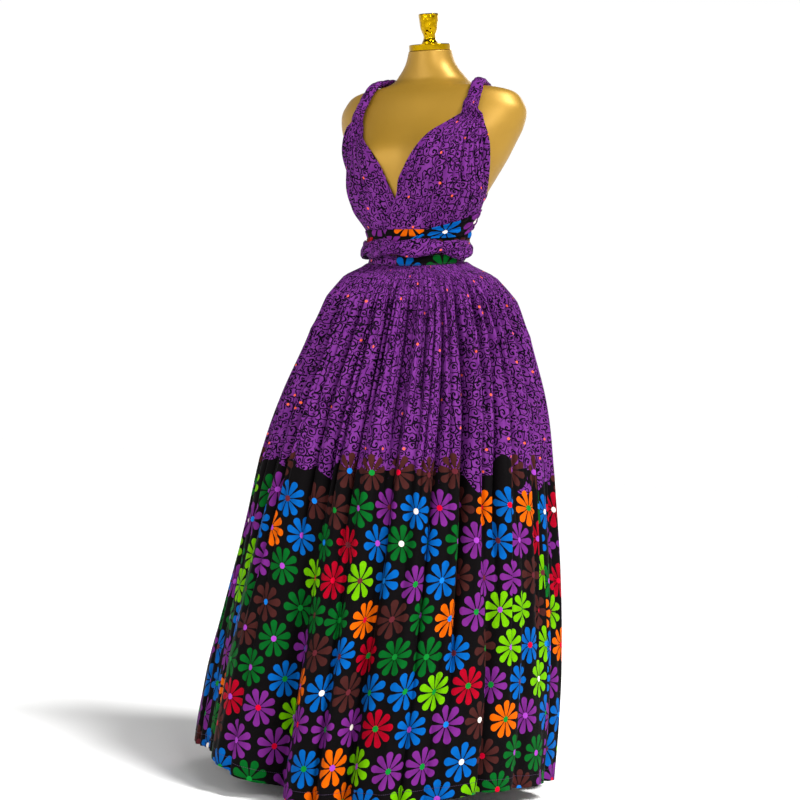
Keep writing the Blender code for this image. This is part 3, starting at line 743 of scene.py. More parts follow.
def wax_print():
    """Plain-weave cotton, wax printed: even colour with a slight sheen, curls above and daisies below."""
    material, tree, shader = new_material("printed_cotton")
    cloth = add(tree, "ShaderNodeUVMap", uv_map="cloth").outputs[0]
    axes = add(tree, "ShaderNodeSeparateXYZ", {0: cloth})
    along, up = axes.outputs[0], axes.outputs[1]

    # The ground: two purples that run into each other, and dark curls whose lines waver by a few mm.
    waver = add(tree, "ShaderNodeTexNoise", {"Vector": cloth, "Scale": 48.0, "Detail": 1.0})
    centred = add(
        tree, "ShaderNodeVectorMath", {0: waver.outputs["Color"], 1: (0.5, 0.5, 0.5)}, operation="SUBTRACT"
    )
    scaled = add(
        tree, "ShaderNodeVectorMath", {0: centred.outputs[0], 1: (0.012, 0.012, 0.0)}, operation="MULTIPLY"
    )
    warped = add(tree, "ShaderNodeVectorMath", {0: cloth, 1: scaled.outputs[0]}, operation="ADD").outputs[0]
    lines = curls(tree, cloth, warped)
    patches = add(tree, "ShaderNodeTexNoise", {"Vector": cloth, "Scale": 30.0, "Detail": 2.0})
    purple = add(
        tree,
        "ShaderNodeMix",
        {0: patches.outputs[0], 6: chosen().ground_dark, 7: chosen().ground_light},
        data_type="RGBA",
    ).outputs[2]
    ground = add(
        tree, "ShaderNodeMix", {0: lines, 6: purple, 7: linear("#0A020E")}, data_type="RGBA"
    ).outputs[2]
    # Sparse coral dots, about 5 mm across.
    dots = add(
        tree,
        "ShaderNodeTexVoronoi",
        {"Vector": cloth, "Scale": 1 / DOTS["apart"], "Randomness": 1.0},
        voronoi_dimensions="2D",
    )
    reach = DOTS["radius"] / DOTS["apart"]
    on_dot = add(
        tree, "ShaderNodeMath", {0: dots.outputs["Distance"], 1: reach}, operation="LESS_THAN"
    ).outputs[0]
    dotted = add(
        tree, "ShaderNodeMix", {0: on_dot, 6: ground, 7: linear("#F4623E")}, data_type="RGBA"
    ).outputs[2]

    # The border: black with daisies, whose upper edge is ragged.
    daisies = [daisy_rows(tree, along, up, every_other) for every_other in (0, 1)]
    ragged = add(
        tree,
        "ShaderNodeTexNoise",
        {"W": along, "Scale": 11.0, "Detail": 1.0},
        noise_dimensions="1D",
    )
    known = work_out(
        tree,
        (
            ("edge", "MULTIPLY_ADD", "ragged", 0.12, BORDER_TOP - 0.066),
            ("low", "LESS_THAN", "up", "edge"),
            ("low_or_even", "MAXIMUM", "low", "even"),
            ("below", "MAXIMUM", "low_or_even", "odd"),
        ),
        {"ragged": ragged.outputs[0], "up": up, "even": daisies[0][2], "odd": daisies[1][2]},
    )
    colour = add(
        tree, "ShaderNodeMix", {0: known["below"], 6: dotted, 7: chosen().border_ground}, data_type="RGBA"
    ).outputs[2]
    for petals, mask, _ in daisies:
        colour = add(tree, "ShaderNodeMix", {0: mask, 6: colour, 7: petals}, data_type="RGBA").outputs[2]

    # At scale 1 a wave texture has a band every TURN / 20, so its scale comes from the pitch.
    bands = {"Scale": TURN / 20 / THREAD_PITCH, "Distortion": 0.6, "Vector": cloth}
    warp = add(tree, "ShaderNodeTexWave", bands, bands_direction="X")
    weft = add(tree, "ShaderNodeTexWave", bands, bands_direction="Y")
    creases = add(
        tree, "ShaderNodeTexNoise", {"Vector": cloth, "Scale": 38.0, "Detail": 3.0, "Roughness": 0.55}
    )
    known = work_out(
        tree,
        (
            ("weave", "MULTIPLY", "warp", "weft"),
            ("height", "MULTIPLY_ADD", "creases", 8.0, "weave"),
            ("rough", "MULTIPLY_ADD", "creases", 0.16, 0.56),
        ),
        {"warp": warp.outputs["Fac"], "weft": weft.outputs["Fac"], "creases": creases.outputs[0]},
    )
    bump = add(tree, "ShaderNodeBump", {"Strength": 0.35, "Distance": 0.0004, "Height": known["height"]})
    tree.links.new(colour, shader.inputs["Base Color"])
    tree.links.new(known["rough"], shader.inputs["Roughness"])
    tree.links.new(bump.outputs[0], shader.inputs["Normal"])
    shader.inputs["Sheen Weight"].default_value = 0.01
    shader.inputs["Sheen Roughness"].default_value = 0.4
    shader.inputs["Specular IOR Level"].default_value = 0.03
    return material


def satin_gold():
    """Moulded plastic sprayed pearl gold: a soft wide gloss, fine flake and a few faint rubbed places."""
    material, tree, shader = new_material("satin_gold_plastic")
    place = add(tree, "ShaderNodeTexCoord").outputs["Object"]
    clouds = add(tree, "ShaderNodeTexNoise", {"Vector": place, "Scale": 9.0, "Detail": 3.0})
    flake = add(tree, "ShaderNodeTexNoise", {"Vector": place, "Scale": 1400.0, "Detail": 1.0})
    colour = add(
        tree,
        "ShaderNodeMix",
        {0: clouds.outputs[0], 6: chosen().form_dark, 7: chosen().form_light},
        data_type="RGBA",
    ).outputs[2]
    known = work_out(
        tree,
        (("rough", "MULTIPLY_ADD", "clouds", 0.10, 0.42),),
        {"clouds": clouds.outputs[0]},
    )
    bump = add(tree, "ShaderNodeBump", {"Strength": 0.05, "Distance": 0.0002, "Height": flake.outputs[0]})
    tree.links.new(colour, shader.inputs["Base Color"])
    tree.links.new(known["rough"], shader.inputs["Roughness"])
    tree.links.new(bump.outputs[0], shader.inputs["Normal"])
    shader.inputs["Metallic"].default_value = 0.45
    shader.inputs["Coat Weight"].default_value = 0.05
    shader.inputs["Coat Roughness"].default_value = 0.30
    return material


def mirror_gold(name, hammered):
    """Electroplated gold colour on metal: a mirror, on the finial beaten into facets about 6 mm across."""
    material, tree, shader = new_material(name)
    place = add(tree, "ShaderNodeTexCoord").outputs["Object"]
    smears = add(tree, "ShaderNodeTexNoise", {"Vector": place, "Scale": 60.0, "Detail": 3.0})
    beaten = add(tree, "ShaderNodeTexVoronoi", {"Vector": place, "Scale": 150.0}, feature="SMOOTH_F1")
    known = work_out(
        tree,
        (("rough", "MULTIPLY_ADD", "smears", 0.10, 0.06),),
        {"smears": smears.outputs[0]},
    )
    # The plating is thinner and browner in the beaten hollows and where the smears are.
    worn = beaten.outputs["Distance"] if hammered else smears.outputs[0]
    colour = add(
        tree,
        "ShaderNodeMix",
        {0: worn, 6: linear("#CFA60C"), 7: linear("#8E6A00")},
        data_type="RGBA",
    ).outputs[2]
    if hammered:
        bump = add(tree, "ShaderNodeBump", {"Strength": 1.0, "Distance": 0.0022, "Height": worn})
        tree.links.new(bump.outputs[0], shader.inputs["Normal"])
    tree.links.new(colour, shader.inputs["Base Color"])
    tree.links.new(known["rough"], shader.inputs["Roughness"])
    shader.inputs["Metallic"].default_value = 1.0
    return material


def powder_coat():
    """Iron with black powder coat: satin, with the fine orange-peel that baking leaves."""
    material, tree, shader = new_material("powder_coated_iron")
    place = add(tree, "ShaderNodeTexCoord").outputs["Object"]
    peel = add(tree, "ShaderNodeTexNoise", {"Vector": place, "Scale": 420.0, "Detail": 2.0})
    dust = add(tree, "ShaderNodeTexNoise", {"Vector": place, "Scale": 14.0, "Detail": 4.0})
    colour = add(
        tree,
        "ShaderNodeMix",
        {0: dust.outputs[0], 6: linear("#1E1E1F"), 7: linear("#2B2A29")},
        data_type="RGBA",
    ).outputs[2]
    bump = add(tree, "ShaderNodeBump", {"Strength": 0.3, "Distance": 0.0003, "Height": peel.outputs[0]})
    tree.links.new(colour, shader.inputs["Base Color"])
    tree.links.new(bump.outputs[0], shader.inputs["Normal"])
    shader.inputs["Roughness"].default_value = 0.44
    return material


def thread():
    """Polyester sewing thread, twisted, a shade darker than the cloth."""
    material, tree, shader = new_material("sewing_thread")
    place = add(tree, "ShaderNodeTexCoord").outputs["Object"]
    twist = add(tree, "ShaderNodeTexNoise", {"Vector": place, "Scale": 900.0, "Detail": 1.0})
    colour = add(
        tree,
        "ShaderNodeMix",
        {0: twist.outputs[0], 6: linear("#1E0A26"), 7: linear("#3A1448")},
        data_type="RGBA",
    ).outputs[2]
    tree.links.new(colour, shader.inputs["Base Color"])
    shader.inputs["Roughness"].default_value = 0.5
    return material


# The form and its stand


def lathe(name, profile, middle, axis, sides=96):
    """A closed turned piece: radius and height pairs, stood on a point along an axis."""
    turn = np.linspace(0, TURN, sides, endpoint=False)
    rings = [[(r * math.cos(t), r * math.sin(t), h) for t in turn] for r, h in profile if r > 0]
    bm = bmesh.new()
    made = [[bm.verts.new(point) for point in ring] for ring in rings]
    for upper, lower in zip(made, made[1:]):
        for k in range(sides):
            after = (k + 1) % sides
            bm.faces.new((upper[k], upper[after], lower[after], lower[k]))
    for ring in (made[0], made[-1]):
        centre = bm.verts.new(sum((vert.co for vert in ring), Vector()) / sides)
        for k in range(sides):
            bm.faces.new((ring[k], ring[(k + 1) % sides], centre))
    bmesh.ops.recalc_face_normals(bm, faces=bm.faces)
    mesh = bpy.data.meshes.new(name)
    bm.to_mesh(mesh)
    bm.free()
    turned = Vector((0, 0, 1)).rotation_difference(axis).to_matrix().to_4x4()
    mesh.transform(Matrix.Translation(middle) @ turned)
    mesh.shade_smooth()
    obj = bpy.data.objects.new(name, mesh)
    bpy.context.scene.collection.objects.link(obj)
    return obj


def rounded_disc(radius, low, high, edge, steps=5):
    """Profile of a disc whose two rims are rounded."""
    rows = [(0.0, low)]
    for k in range(steps + 1):
        turn = math.pi / 2 * k / steps
        rows.append((radius - edge + edge * math.sin(turn), low + edge - edge * math.cos(turn)))
    for k in range(steps + 1):
        turn = math.pi / 2 * k / steps
        rows.append((radius - edge + edge * math.cos(turn), high - edge + edge * math.sin(turn)))
    rows.append((0.0, high))
    return rows


def make_form(smoothness):
    shares = np.linspace(0.0, 1.0, smoothness)
    turns = np.linspace(0.0, TURN, 128, endpoint=False)
    points = torso_grid(shares, turns)
    # The ends are closed by rings that shrink to the middle, so no separate cap is needed.
    for end in (0, -1):
        ring = points[end]
        centre = ring.mean(axis=0)
        inner = [centre + (ring - centre) * scale for scale in (0.97, 0.6, 0.02)]
        stack = inner[::-1] if end == 0 else inner
        points = np.concatenate([stack, points] if end == 0 else [points, stack])
    flat = np.zeros((*points.shape[:2], 2))
    flat = np.concatenate([flat, flat[:, :1]], axis=1)
    body = grid_mesh("form_body", points, flat, closed=True)
    finish_piece(body, satin_gold(), ["form_torso"])
    form.add(body)
    dressed.add(body)

    level = dict(zip(TORSO_COLUMNS, TORSO_LEVELS[0]))
    tilt = math.atan(level["tilt"])
    axis = Vector((0, -math.sin(tilt), math.cos(tilt)))
    top = Vector((0, -level["forward"], level["height"]))
    rim = rounded_disc(CAP["radius"], CAP["gap"], CAP["gap"] + CAP["thick"], CAP["edge"])
    cap = lathe("form_cap", rim, top, axis)
    finish_piece(cap, mirror_gold("mirror_gold", False), ["neck_cap"])
    start = top + axis * (2 * CAP["gap"] + CAP["thick"])
    finial = lathe("form_finial", FINIAL_PROFILE, start, axis)
    finish_piece(finial, mirror_gold("hammered_gold", True), ["finial"])


def make_stand():
    coat = powder_coat()
    upright = Vector((0, 0, 1))
    plate = rounded_disc(BASE["radius"], 0.0, BASE["thick"], BASE["edge"])
    base = lathe("base_plate", plate, Vector(), upright)
    finish_piece(base, coat, ["stand_base"])
    tube = rounded_disc(POLE["radius"], POLE["foot"], POLE["top"], POLE["edge"], 2)
    pole = lathe("stand_tube", tube, Vector(), upright, 48)
    finish_piece(pole, coat, ["stand_pole"])


# The skirt


def seam_height(angle):
    return SEAM_HEIGHT - SEAM_DIP * np.maximum(0.0, np.cos(np.radians(angle)))


def hem_height(angle):
    return chosen().hem_height + between(HEM_LIFTS, HEM_COLUMNS, "lift", (angle + 180.0) / 360.0)


def outline(angle, share):
    """Points of the skirt's outline before folds."""
    top, bottom = SKIRT_LEVELS[0][0], SKIRT_LEVELS[-1][0]
    level = top + (bottom - top) * share
    aside, forward, half_width, front, back = (
        at_height(SKIRT_LEVELS, SKIRT_COLUMNS, name, level) for name in SKIRT_COLUMNS[1:]
    )
    turn = np.radians(angle)
    reach = np.where(np.cos(turn) > 0, front, back) * np.cos(turn)
    return aside + half_width * np.sin(turn), -(forward + reach)


def minor_folds():
    """Narrow folds that run down from the gathers: place, half angle, depth, start, end and lean."""
    rng = np.random.default_rng(RNG_SEED)
    rows, angle = [], -180.0
    while angle < 176.0:
        start = rng.uniform(0.0, 0.06)
        end = rng.uniform(0.32, 0.95)
        lean = rng.choice((-1.0, 1.0)) * rng.uniform(0.5, 1.1)
        deep = 0.012 * rng.random() ** 2
        rows.append((angle, rng.uniform(1.1, 2.0), 0.011 + deep, start, end, lean))
        angle += rng.uniform(3.4, 8.2)
    angle = -178.0
    while angle < 174.0:
        lean = rng.uniform(-0.6, 0.6)
        half_angle = rng.uniform(2.2, 3.6)
        depth = rng.uniform(0.013, 0.026)
        rows.append((angle, half_angle, depth, 0.01, rng.uniform(0.55, 1.1), lean))
        angle += rng.uniform(8.5, 15.0)
    return rows


def folded(angle, share):
    """How far the folds draw the skirt in, and by how many degrees they roll it over."""
    drawn, rolled = 0.0, 0.0
    for place, half_angle, depth, start, end, lean in minor_folds():
        wandering = 0.8 * np.sin(share * 6.0 + place)
        away = ((angle - place - wandering + 180.0) % 360.0 - 180.0) / half_angle
        grown = smooth_step(start, start + 0.10, share) * (1 - smooth_step(0.55 * end, end, share))
        drawn = drawn + depth * grown * np.exp(-(np.abs(away) ** 1.5) * 1.5)
        ridge = away - 0.7 * lean
        rolled = rolled - lean * half_angle * 0.62 * grown * np.exp(-(ridge**2) * 2.6)
    for place, half_angle, depth, starts, lean in FOLDS:
        away = ((angle - place + 180.0) % 360.0 - 180.0) / half_angle
        grown = smooth_step(starts, 1.0, share) ** 0.7
        drawn = drawn + depth * grown * np.exp(-(away**2) * 1.4)
        ridge = away - 0.75 * lean
        rolled = rolled - lean * half_angle * 0.62 * grown * np.exp(-(ridge**2) * 2.6)
    return drawn, rolled


def skirt_surface(angle, share):
    """Points of the skirt at grids of angles and shares of the way down."""
    wander = ripple(angle / 21.0, share * 1.3, 5)
    phase = (angle + 1.1 * wander * (0.3 + share)) * GATHERS / 360.0 * TURN
    uneven = 0.75 + 0.5 * ripple(angle / 9.0, share * 0.4, 8)
    grown = 1.2 + 3.0 * smooth_step(0.0, 0.12, share)
    fade = 1.0 - smooth_step(0.14, 0.52, share)
    gather = 0.0013 * grown * fade * uneven * (2 * np.abs(np.sin(phase / 2)) ** 0.8 - 1)
    # Gathers run together in twos and threes below the hip, and the cloth between folds is never flat.
    broader = 0.0034 * smooth_step(0.08, 0.30, share) * (1 - 0.55 * smooth_step(0.45, 0.95, share))
    drape = broader * ripple(angle / 8.5, share * 1.1, 3) + 0.0022 * ripple(angle / 4.0, share * 1.6, 9)
    drape = drape * smooth_step(0.02, 0.12, share)
    drawn, rolled = folded(angle, share)
    x, y = outline(angle + rolled, share)
    turn = np.radians(angle + rolled)
    reach = gather + drape - drawn
    seam_x, seam_y = outline(angle, np.zeros_like(share))
    top = seam_height(np.degrees(np.arctan2(seam_x, -seam_y)))
    height = top + (hem_height(angle) - top) * share
    points = np.stack([x + np.sin(turn) * reach, y - np.cos(turn) * reach, height], axis=-1)
    return points, phase


def cloth_place(start, points, share, phase):
    """Where each point of a half skirt lies on the flat cloth: its gathers take up what they hide."""
    # The threads that run down the cloth drift aside only slowly, so each row is averaged with near ones.
    spacing = np.linalg.norm(np.diff(points, axis=1), axis=-1)
    width = spacing[-20].sum() * 1.04
    spacing = spacing / spacing.sum(axis=1, keepdims=True)
    near = np.exp(-(((share[:, :1] - share[:, :1].T) / 0.075) ** 2))
    spacing = near @ spacing / near.sum(axis=1, keepdims=True)
    along = start + width * np.pad(np.cumsum(spacing, axis=1), ((0, 0), (1, 0)))
    down = length_along(points[:, ::40].mean(axis=1)[:, None], 0)
    up = (down[-1] - down) * np.ones_like(share)
    hidden = 0.30 * (1 - smooth_step(0.05, 0.50, share))
    pitch = width / (GATHERS / 2)
    along = along - hidden * pitch / TURN * np.sin(phase + math.pi / 2)
    return np.stack([along, up], axis=-1)


def make_skirt(columns, rows):
    shares = np.concatenate([np.linspace(0.0, 0.2, rows // 4, endpoint=False), np.linspace(0.2, 1.0, rows)])
    for name, node, start, cut in SKIRT_HALVES:
        angles = start + np.linspace(0.0, 180.0, columns)
        share, angle = np.meshgrid(shares, angles, indexing="ij")
        points, phase = skirt_surface((angle + 180.0) % 360.0 - 180.0, share)
        place = cloth_place(cut, points, share, phase)
        outwards = radial(angles)
        under, under_place = [], []
        for inwards, raised in HEM_TURN:
            row = points[-1] - outwards * inwards
            row[:, 2] += raised
            under.append(row)
            under_place.append(place[-1] + np.array([0.0, -max(raised, 0.0)]))
        tucked = points[:1] - outwards * TUCK["inwards"]
        points = np.concatenate([tucked, points, under])
        tucked_place = place[:1] + np.array([0.0, TUCK["up"]])
        place = np.concatenate([tucked_place, place, under_place])
        skirt = grid_mesh(name, points, place)
        finish_cloth(skirt, node)


# The bodice and the straps


def drape_lift(across, down):
    """How far gathers and the hollow below the bust lift a panel, and how far across its folds roll over."""
    wander = 0.012 * ripple(across * 0.6, down * 1.2, 21)
    # The outer part stands prouder, so that its folds have depth to go down into.
    upper = 0.35 + 0.65 * smooth_step(1.0, 0.45, down)
    gathers = 0.0014 + 0.0078 * smooth_step(0.30, 0.72, across) * upper
    rolled = 0.0
    for place, half_width, depth, runs in DRAPE_FOLDS:
        away = (across + wander - place) / half_width
        fades = smooth_step(1.08 * runs, 0.45 * runs, down)
        gathers = gathers - depth * fades * np.exp(-np.abs(away) ** 1.5)
        rolled = rolled + half_width * 0.75 * fades * np.exp(-((away + 0.9) ** 2) * 2.2)
    fine = 0.0007 * ripple(across * 9.0, down * 0.8, 23) * smooth_step(0.9, 0.2, down)
    hollow = smooth_step(0.28, 0.62, down) * smooth_step(0.88, 0.66, down)
    towards_side = smooth_step(0.15, 0.70, across) * (1 - 0.75 * smooth_step(0.84, 1.0, across))
    return gathers + fine + BRIDGE * hollow * towards_side, rolled


def into_rope(route, top_row, mirror):
    """Rows of a panel that gather it round the start of its shoulder rope, from inside the rope down."""
    across = np.linspace(0.0, 1.0, len(top_row))
    line = route_points(route, 200)
    distance = length_along(line[:, None], 0)[:, 0]
    rows = []
    first = None
    for t in np.linspace(0.0, 1.0, ROPE_ROWS + 1)[1:]:
        k = int(np.searchsorted(distance, 0.030 * t))
        found, normal = form.nearest(line[k])
        centre = found + normal * (TWIST["half_thick"] + 0.0012)
        sideways = np.cross(line[k + 1] - line[max(k - 1, 0)], normal)
        sideways *= mirror / np.linalg.norm(sideways)
        first = centre if first is None else first
        turn = math.pi * (1.12 - 1.24 * across)
        size = (1.08 - 0.26 * t**3) * (1 - 0.07 * np.cos(TURN * 5 * across))
        ring = centre + np.outer(np.cos(turn) * size * TWIST["half_width"], sideways)
        ring = ring + np.outer(np.sin(turn) * size * TWIST["half_thick"], normal)
        gathered = smooth_step(0.0, 0.5, t)
        rows.append((1 - gathered) * (top_row + centre - first) + gathered * ring)
    return np.array(rows[::-1])


def make_bodice(columns, rows):
    for name, node, levels, top, mirror, route in (
        ("bodice_left_cloth", "bodice_left", LEFT_DRAPE, LEFT_DRAPE_TOP, 1, LEFT_TWIST_ROUTE),
        ("bodice_right_cloth", "bodice_right", RIGHT_DRAPE, RIGHT_DRAPE_TOP, -1, RIGHT_TWIST_ROUTE),
    ):
        shares = np.linspace(0.0, 1.0, rows)
        down, across = np.meshgrid(shares, np.linspace(0.0, 1.0, columns), indexing="ij")
        share, inner, outer = (between(levels, DRAPE_COLUMNS, column, down) for column in DRAPE_COLUMNS)
        drape, rolled = drape_lift(across, share)
        angle = inner + (outer - inner) * (across + rolled)
        bottom = seam_height(angle) + BAND_HEIGHT + 0.0012
        height = top + (bottom - top) * share
        lift = BUST_SEAT - 0.0012 + drape
        if mirror > 0:
            lift = lift + 0.0045 * smooth_step(26.0, 16.0, angle) * smooth_step(1.25, 1.22, height)
        # Both long edges are turned in, so they lie a little prouder.
        width = (outer - inner) / 1.4
        hem = np.exp(-((across * width) ** 2)) + np.exp(-(((1 - across) * width) ** 2))
        points = laid(form, angle * mirror, height, lift + 0.0009 * hem)
        points = np.concatenate([into_rope(route, points[0], mirror), points])
        share = np.concatenate([np.zeros((ROPE_ROWS, columns)), share])
        cut = CUTS[node]
        wide = length_along(points[[rows // 2 + ROPE_ROWS]], 1)[0]
        long = length_along(points[:, [columns // 2]], 0)
        # The cloth is gathered at the shoulder, so its threads fan out from there.
        fan = 0.52 + 0.48 * smooth_step(-0.1, 0.55, share)
        along = cut[0] + (wide - wide[-1] / 2) * (0.85 * fan + 0.35)
        up = cut[1] + (long[-1] - long) * np.ones_like(share)
        panel = grid_mesh(name, points, np.stack([along, up], axis=-1), flip=mirror < 0)
        thicken(panel, WALL["panel"])
        finish_cloth(panel, node)
        dressed.add(panel)


def route_points(route, count, start=0.0):
    share = np.linspace(start, 1.0, count)
    return np.stack([between(route, "xyz", axis, share) for axis in "xyz"], axis=-1)


def make_shoulder_twists(sides, rings):
    for name, node, route in (
        ("shoulder_left_twist", "strap_left_twist", LEFT_TWIST_ROUTE),
        ("shoulder_right_twist", "strap_right_twist", RIGHT_TWIST_ROUTE),
    ):
        line = route_points(route, rings, 0.075)
        distance = length_along(line[:, None], 0)[:, 0]
        points = np.zeros((rings, sides, 3))
        for k in range(rings):
            found, normal = form.nearest(line[k])
            # At its back end the rope opens out and lies flat, where the strap goes on.
            flat = 0.34 + 0.66 * smooth_step(0.0, 0.030, distance[-1] - distance[k])
            middle = found + normal * (TWIST["half_thick"] * flat + 0.0010)
            ahead = line[min(k + 1, rings - 1)] - line[max(k - 1, 0)]
            sideways = np.cross(ahead, normal)
            sideways /= np.linalg.norm(sideways)
            spin = TURN * distance[k] / chosen().rope_pitch
            turn = np.linspace(0, TURN, sides, endpoint=False)
            # Three plies of folded cloth show as rounded ridges that wind round the rope.
            ply = np.abs(np.sin(1.5 * (turn - spin) + 0.35 * math.sin(distance[k] * 90)))
            lobe = 0.86 + 0.17 * ply**0.6 + 0.012 * np.sin(9 * turn - 3 * spin)
            end = min(distance[k], distance[-1] - distance[k])
            swell = 0.90 + 0.10 * smooth_step(0.0, 0.012, end)
            wide = TWIST["half_width"] * np.cos(turn) * lobe * swell
            thick = TWIST["half_thick"] * flat * np.sin(turn) * lobe * swell
            points[k] = middle + sideways * wide[:, None] + normal * thick[:, None]
        cut = CUTS[node]
        around, along = np.meshgrid(np.linspace(0.0, 0.105, sides + 1), distance)
        # The cloth runs aslant round a twisted rope.
        place = np.stack([cut[0] + around + 0.55 * along, cut[1] + 0.10 + along], axis=-1)
        rope = close_ends(name, points, place)
        finish_cloth(rope, node)


def close_ends(name, points, place):
    """A tube whose two ends are drawn in to a point, as gathered cloth is."""
    first = points[0].mean(axis=0)
    last = points[-1].mean(axis=0)
    scales = (0.7, 0.05)
    before = [first + (points[0] - first) * scale for scale in scales[::-1]]
    behind = [last + (points[-1] - last) * scale for scale in scales]
    points = np.concatenate([before, points, behind])
    place = np.concatenate([[place[0]] * 2, place, [place[-1]] * 2])
    return turned_out(grid_mesh(name, points, place, closed=True))


def make_strap(surface, name, node, route, lift, pleats, flat_width, seed):
    """A strap that lies flat, with soft pleats along it."""
    rows, columns = 30, 150
    across, share = np.meshgrid(np.linspace(1.0, -1.0, rows), np.linspace(0.0, 1.0, columns), indexing="ij")
    angle, height, half_width, rise = (
        between(route, STRAP_COLUMNS, column, share) for column in STRAP_COLUMNS
    )
    wander = 0.16 * ripple(share * 1.7, across * 0.2, seed)
    ridges = np.abs(np.sin((across * pleats / 2 + wander * 2) * math.pi))
    edge = 1 - smooth_step(0.80, 1.0, np.abs(across))
    proud = 0.0004 + 0.0024 * ridges**0.8 * (0.4 + 0.6 * edge)
    proud = proud + 0.0006 * ripple(share * 3.0, across, seed + 1)
    points = laid(surface, angle, height + half_width * across, lift + rise + proud, soften=4)
    distance = length_along(points[[rows // 2]], 1)[0]
    cut = CUTS[node]
    along = cut[0] + distance * np.ones((rows, 1))
    place = np.stack([along, cut[1] + across * flat_width / 2], axis=-1)
    strap = grid_mesh(name, points, place, flip=route[-1][0] < route[0][0])
    thicken(strap, WALL["strap"])
    finish_cloth(strap, node)
    return strap


def stepped(across, pleats):
    """How many pleats lie above each place: it steps up in the valleys between them."""
    count = across * pleats
    return np.floor(count) + smooth_step(0.88, 1.0, count - np.floor(count))


def wrap_height(angle, front, side):
    return side + (front - side) * np.maximum(0.0, np.cos(np.radians(angle)))


def make_band(name, node, heights, lift, pleats, flat_width, seed, up_at=lambda degrees: 0.0):
    """A turn of cloth right round the waist, between two heights that are functions of the angle."""
    rows, columns = 22, 360
    angles = np.linspace(-180.0, 180.0, columns, endpoint=False)
    across, angle = np.meshgrid(np.linspace(1.0, 0.0, rows), angles, indexing="ij")
    low, high = heights(angle)
    wander = 0.22 * ripple(angle / 60.0, across * 0.3, seed)
    ridges = np.abs(np.sin((across * pleats + wander) * math.pi))
    proud = lift + 0.0016 * ridges**0.8 * (pleats > 0)
    points = laid(dressed, angle, low + (high - low) * across, proud, soften=5)
    distance = length_along(np.concatenate([points, points[:, :1]], axis=1)[[rows // 2]], 1)[0]
    wide = np.linspace(flat_width / 2, -flat_width / 2, rows)[:, None]
    degrees = np.linspace(-180.0, 180.0, columns + 1)[None, :]
    # Between two pleats lies hidden cloth, so the print jumps there.
    hidden = 0.012 * stepped(np.linspace(0.0, 0.999, rows)[:, None], pleats)
    cut = CUTS[node]
    up = cut[1] + wide + up_at(degrees) - hidden
    place = np.stack(np.broadcast_arrays(cut[0] + distance, up), axis=-1)
    band = grid_mesh(name, points, place, closed=True)
    thicken(band, WALL["turn"])
    finish_cloth(band, node)
    return band


def make_waistband():
    def heights(angle):
        low = seam_height(angle) + 0.0004
        return low, low + BAND_HEIGHT

    def up_at(degrees):
        # The band is pieced: black with petals at the front, curls all round the rest.
        return 0.37 * (smooth_step(-1.0, -2.0, degrees) + smooth_step(67.5, 68.5, degrees))

    make_band("waistband_cloth", "waistband", heights, 0.0016, 0, 0.026, 61, up_at)


def make_upper_wrap():
    def heights(angle):
        middle = wrap_height(angle, UPPER_WRAP["front"], UPPER_WRAP["side"])
        return middle - UPPER_WRAP["below"], middle + UPPER_WRAP["above"]

    return make_band("waist_upper_wrap", "wrap_upper", heights, 0.0006, 2, 0.030, 67)


def make_wound_wrap(sides, rings):
    """Two strands of strap wound round each other and pressed on to the waist."""
    for name, node, phase in (
        ("waist_twist_a", "wrap_twist_a", 0.0),
        ("waist_twist_b", "wrap_twist_b", math.pi),
    ):
        share = np.linspace(0.0, 1.0, rings, endpoint=False)
        angles = 360.0 * share - 180.0
        heights = wrap_height(angles, WOUND["front"], WOUND["side"])
        levels = heights[:, None] + np.array([-0.014, 0.0, 0.014])
        reach = np.array([max(dressed.reach(a, h) for h in near) for a, near in zip(angles, levels)])
        for _ in range(6):
            reach = (np.roll(reach, 1) + reach + np.roll(reach, -1)) / 3
        middle = reach + (WOUND["strand"] + WOUND["orbit"]) * WOUND["flat"] + 0.0006
        spin = TURN * WOUND["turns"] * share + phase + 0.5 * np.sin(TURN * 3 * share + phase)
        points = np.zeros((rings, sides, 3))
        upwards = np.array([0.0, 0.0, 1.0])
        for k, outwards in enumerate(radial(angles)):
            centre = outwards * middle[k] + upwards * heights[k]
            centre = centre + outwards * (math.cos(spin[k]) * WOUND["orbit"] * WOUND["flat"])
            centre = centre + upwards * (math.sin(spin[k]) * WOUND["orbit"])
            around = np.linspace(0, TURN, sides, endpoint=False) + spin[k]
            wander = 1.2 * math.sin(3 * spin[k] + phase)
            creases = 0.84 + 0.16 * np.abs(np.sin(3.0 * (around - spin[k]) + wander)) ** 0.7
            wide = WOUND["strand"] * creases
            points[k] = (
                centre
                + outwards * (np.cos(around) * wide * WOUND["flat"])[:, None]
                + upwards * (np.sin(around) * wide)[:, None]
            )
        loop = np.concatenate([points, points[:1]])
        distance = length_along(loop[:, [0]], 0)[:, 0]
        cut = CUTS[node]
        around, along = np.meshgrid(np.linspace(0.0, 0.085, sides + 1), distance)
        place = np.stack([cut[0] + along, cut[1] + around], axis=-1)
        strand = turned_out(grid_mesh(name, loop, place, closed=True), 1e-6)
        finish_cloth(strand, node)


# Sewing


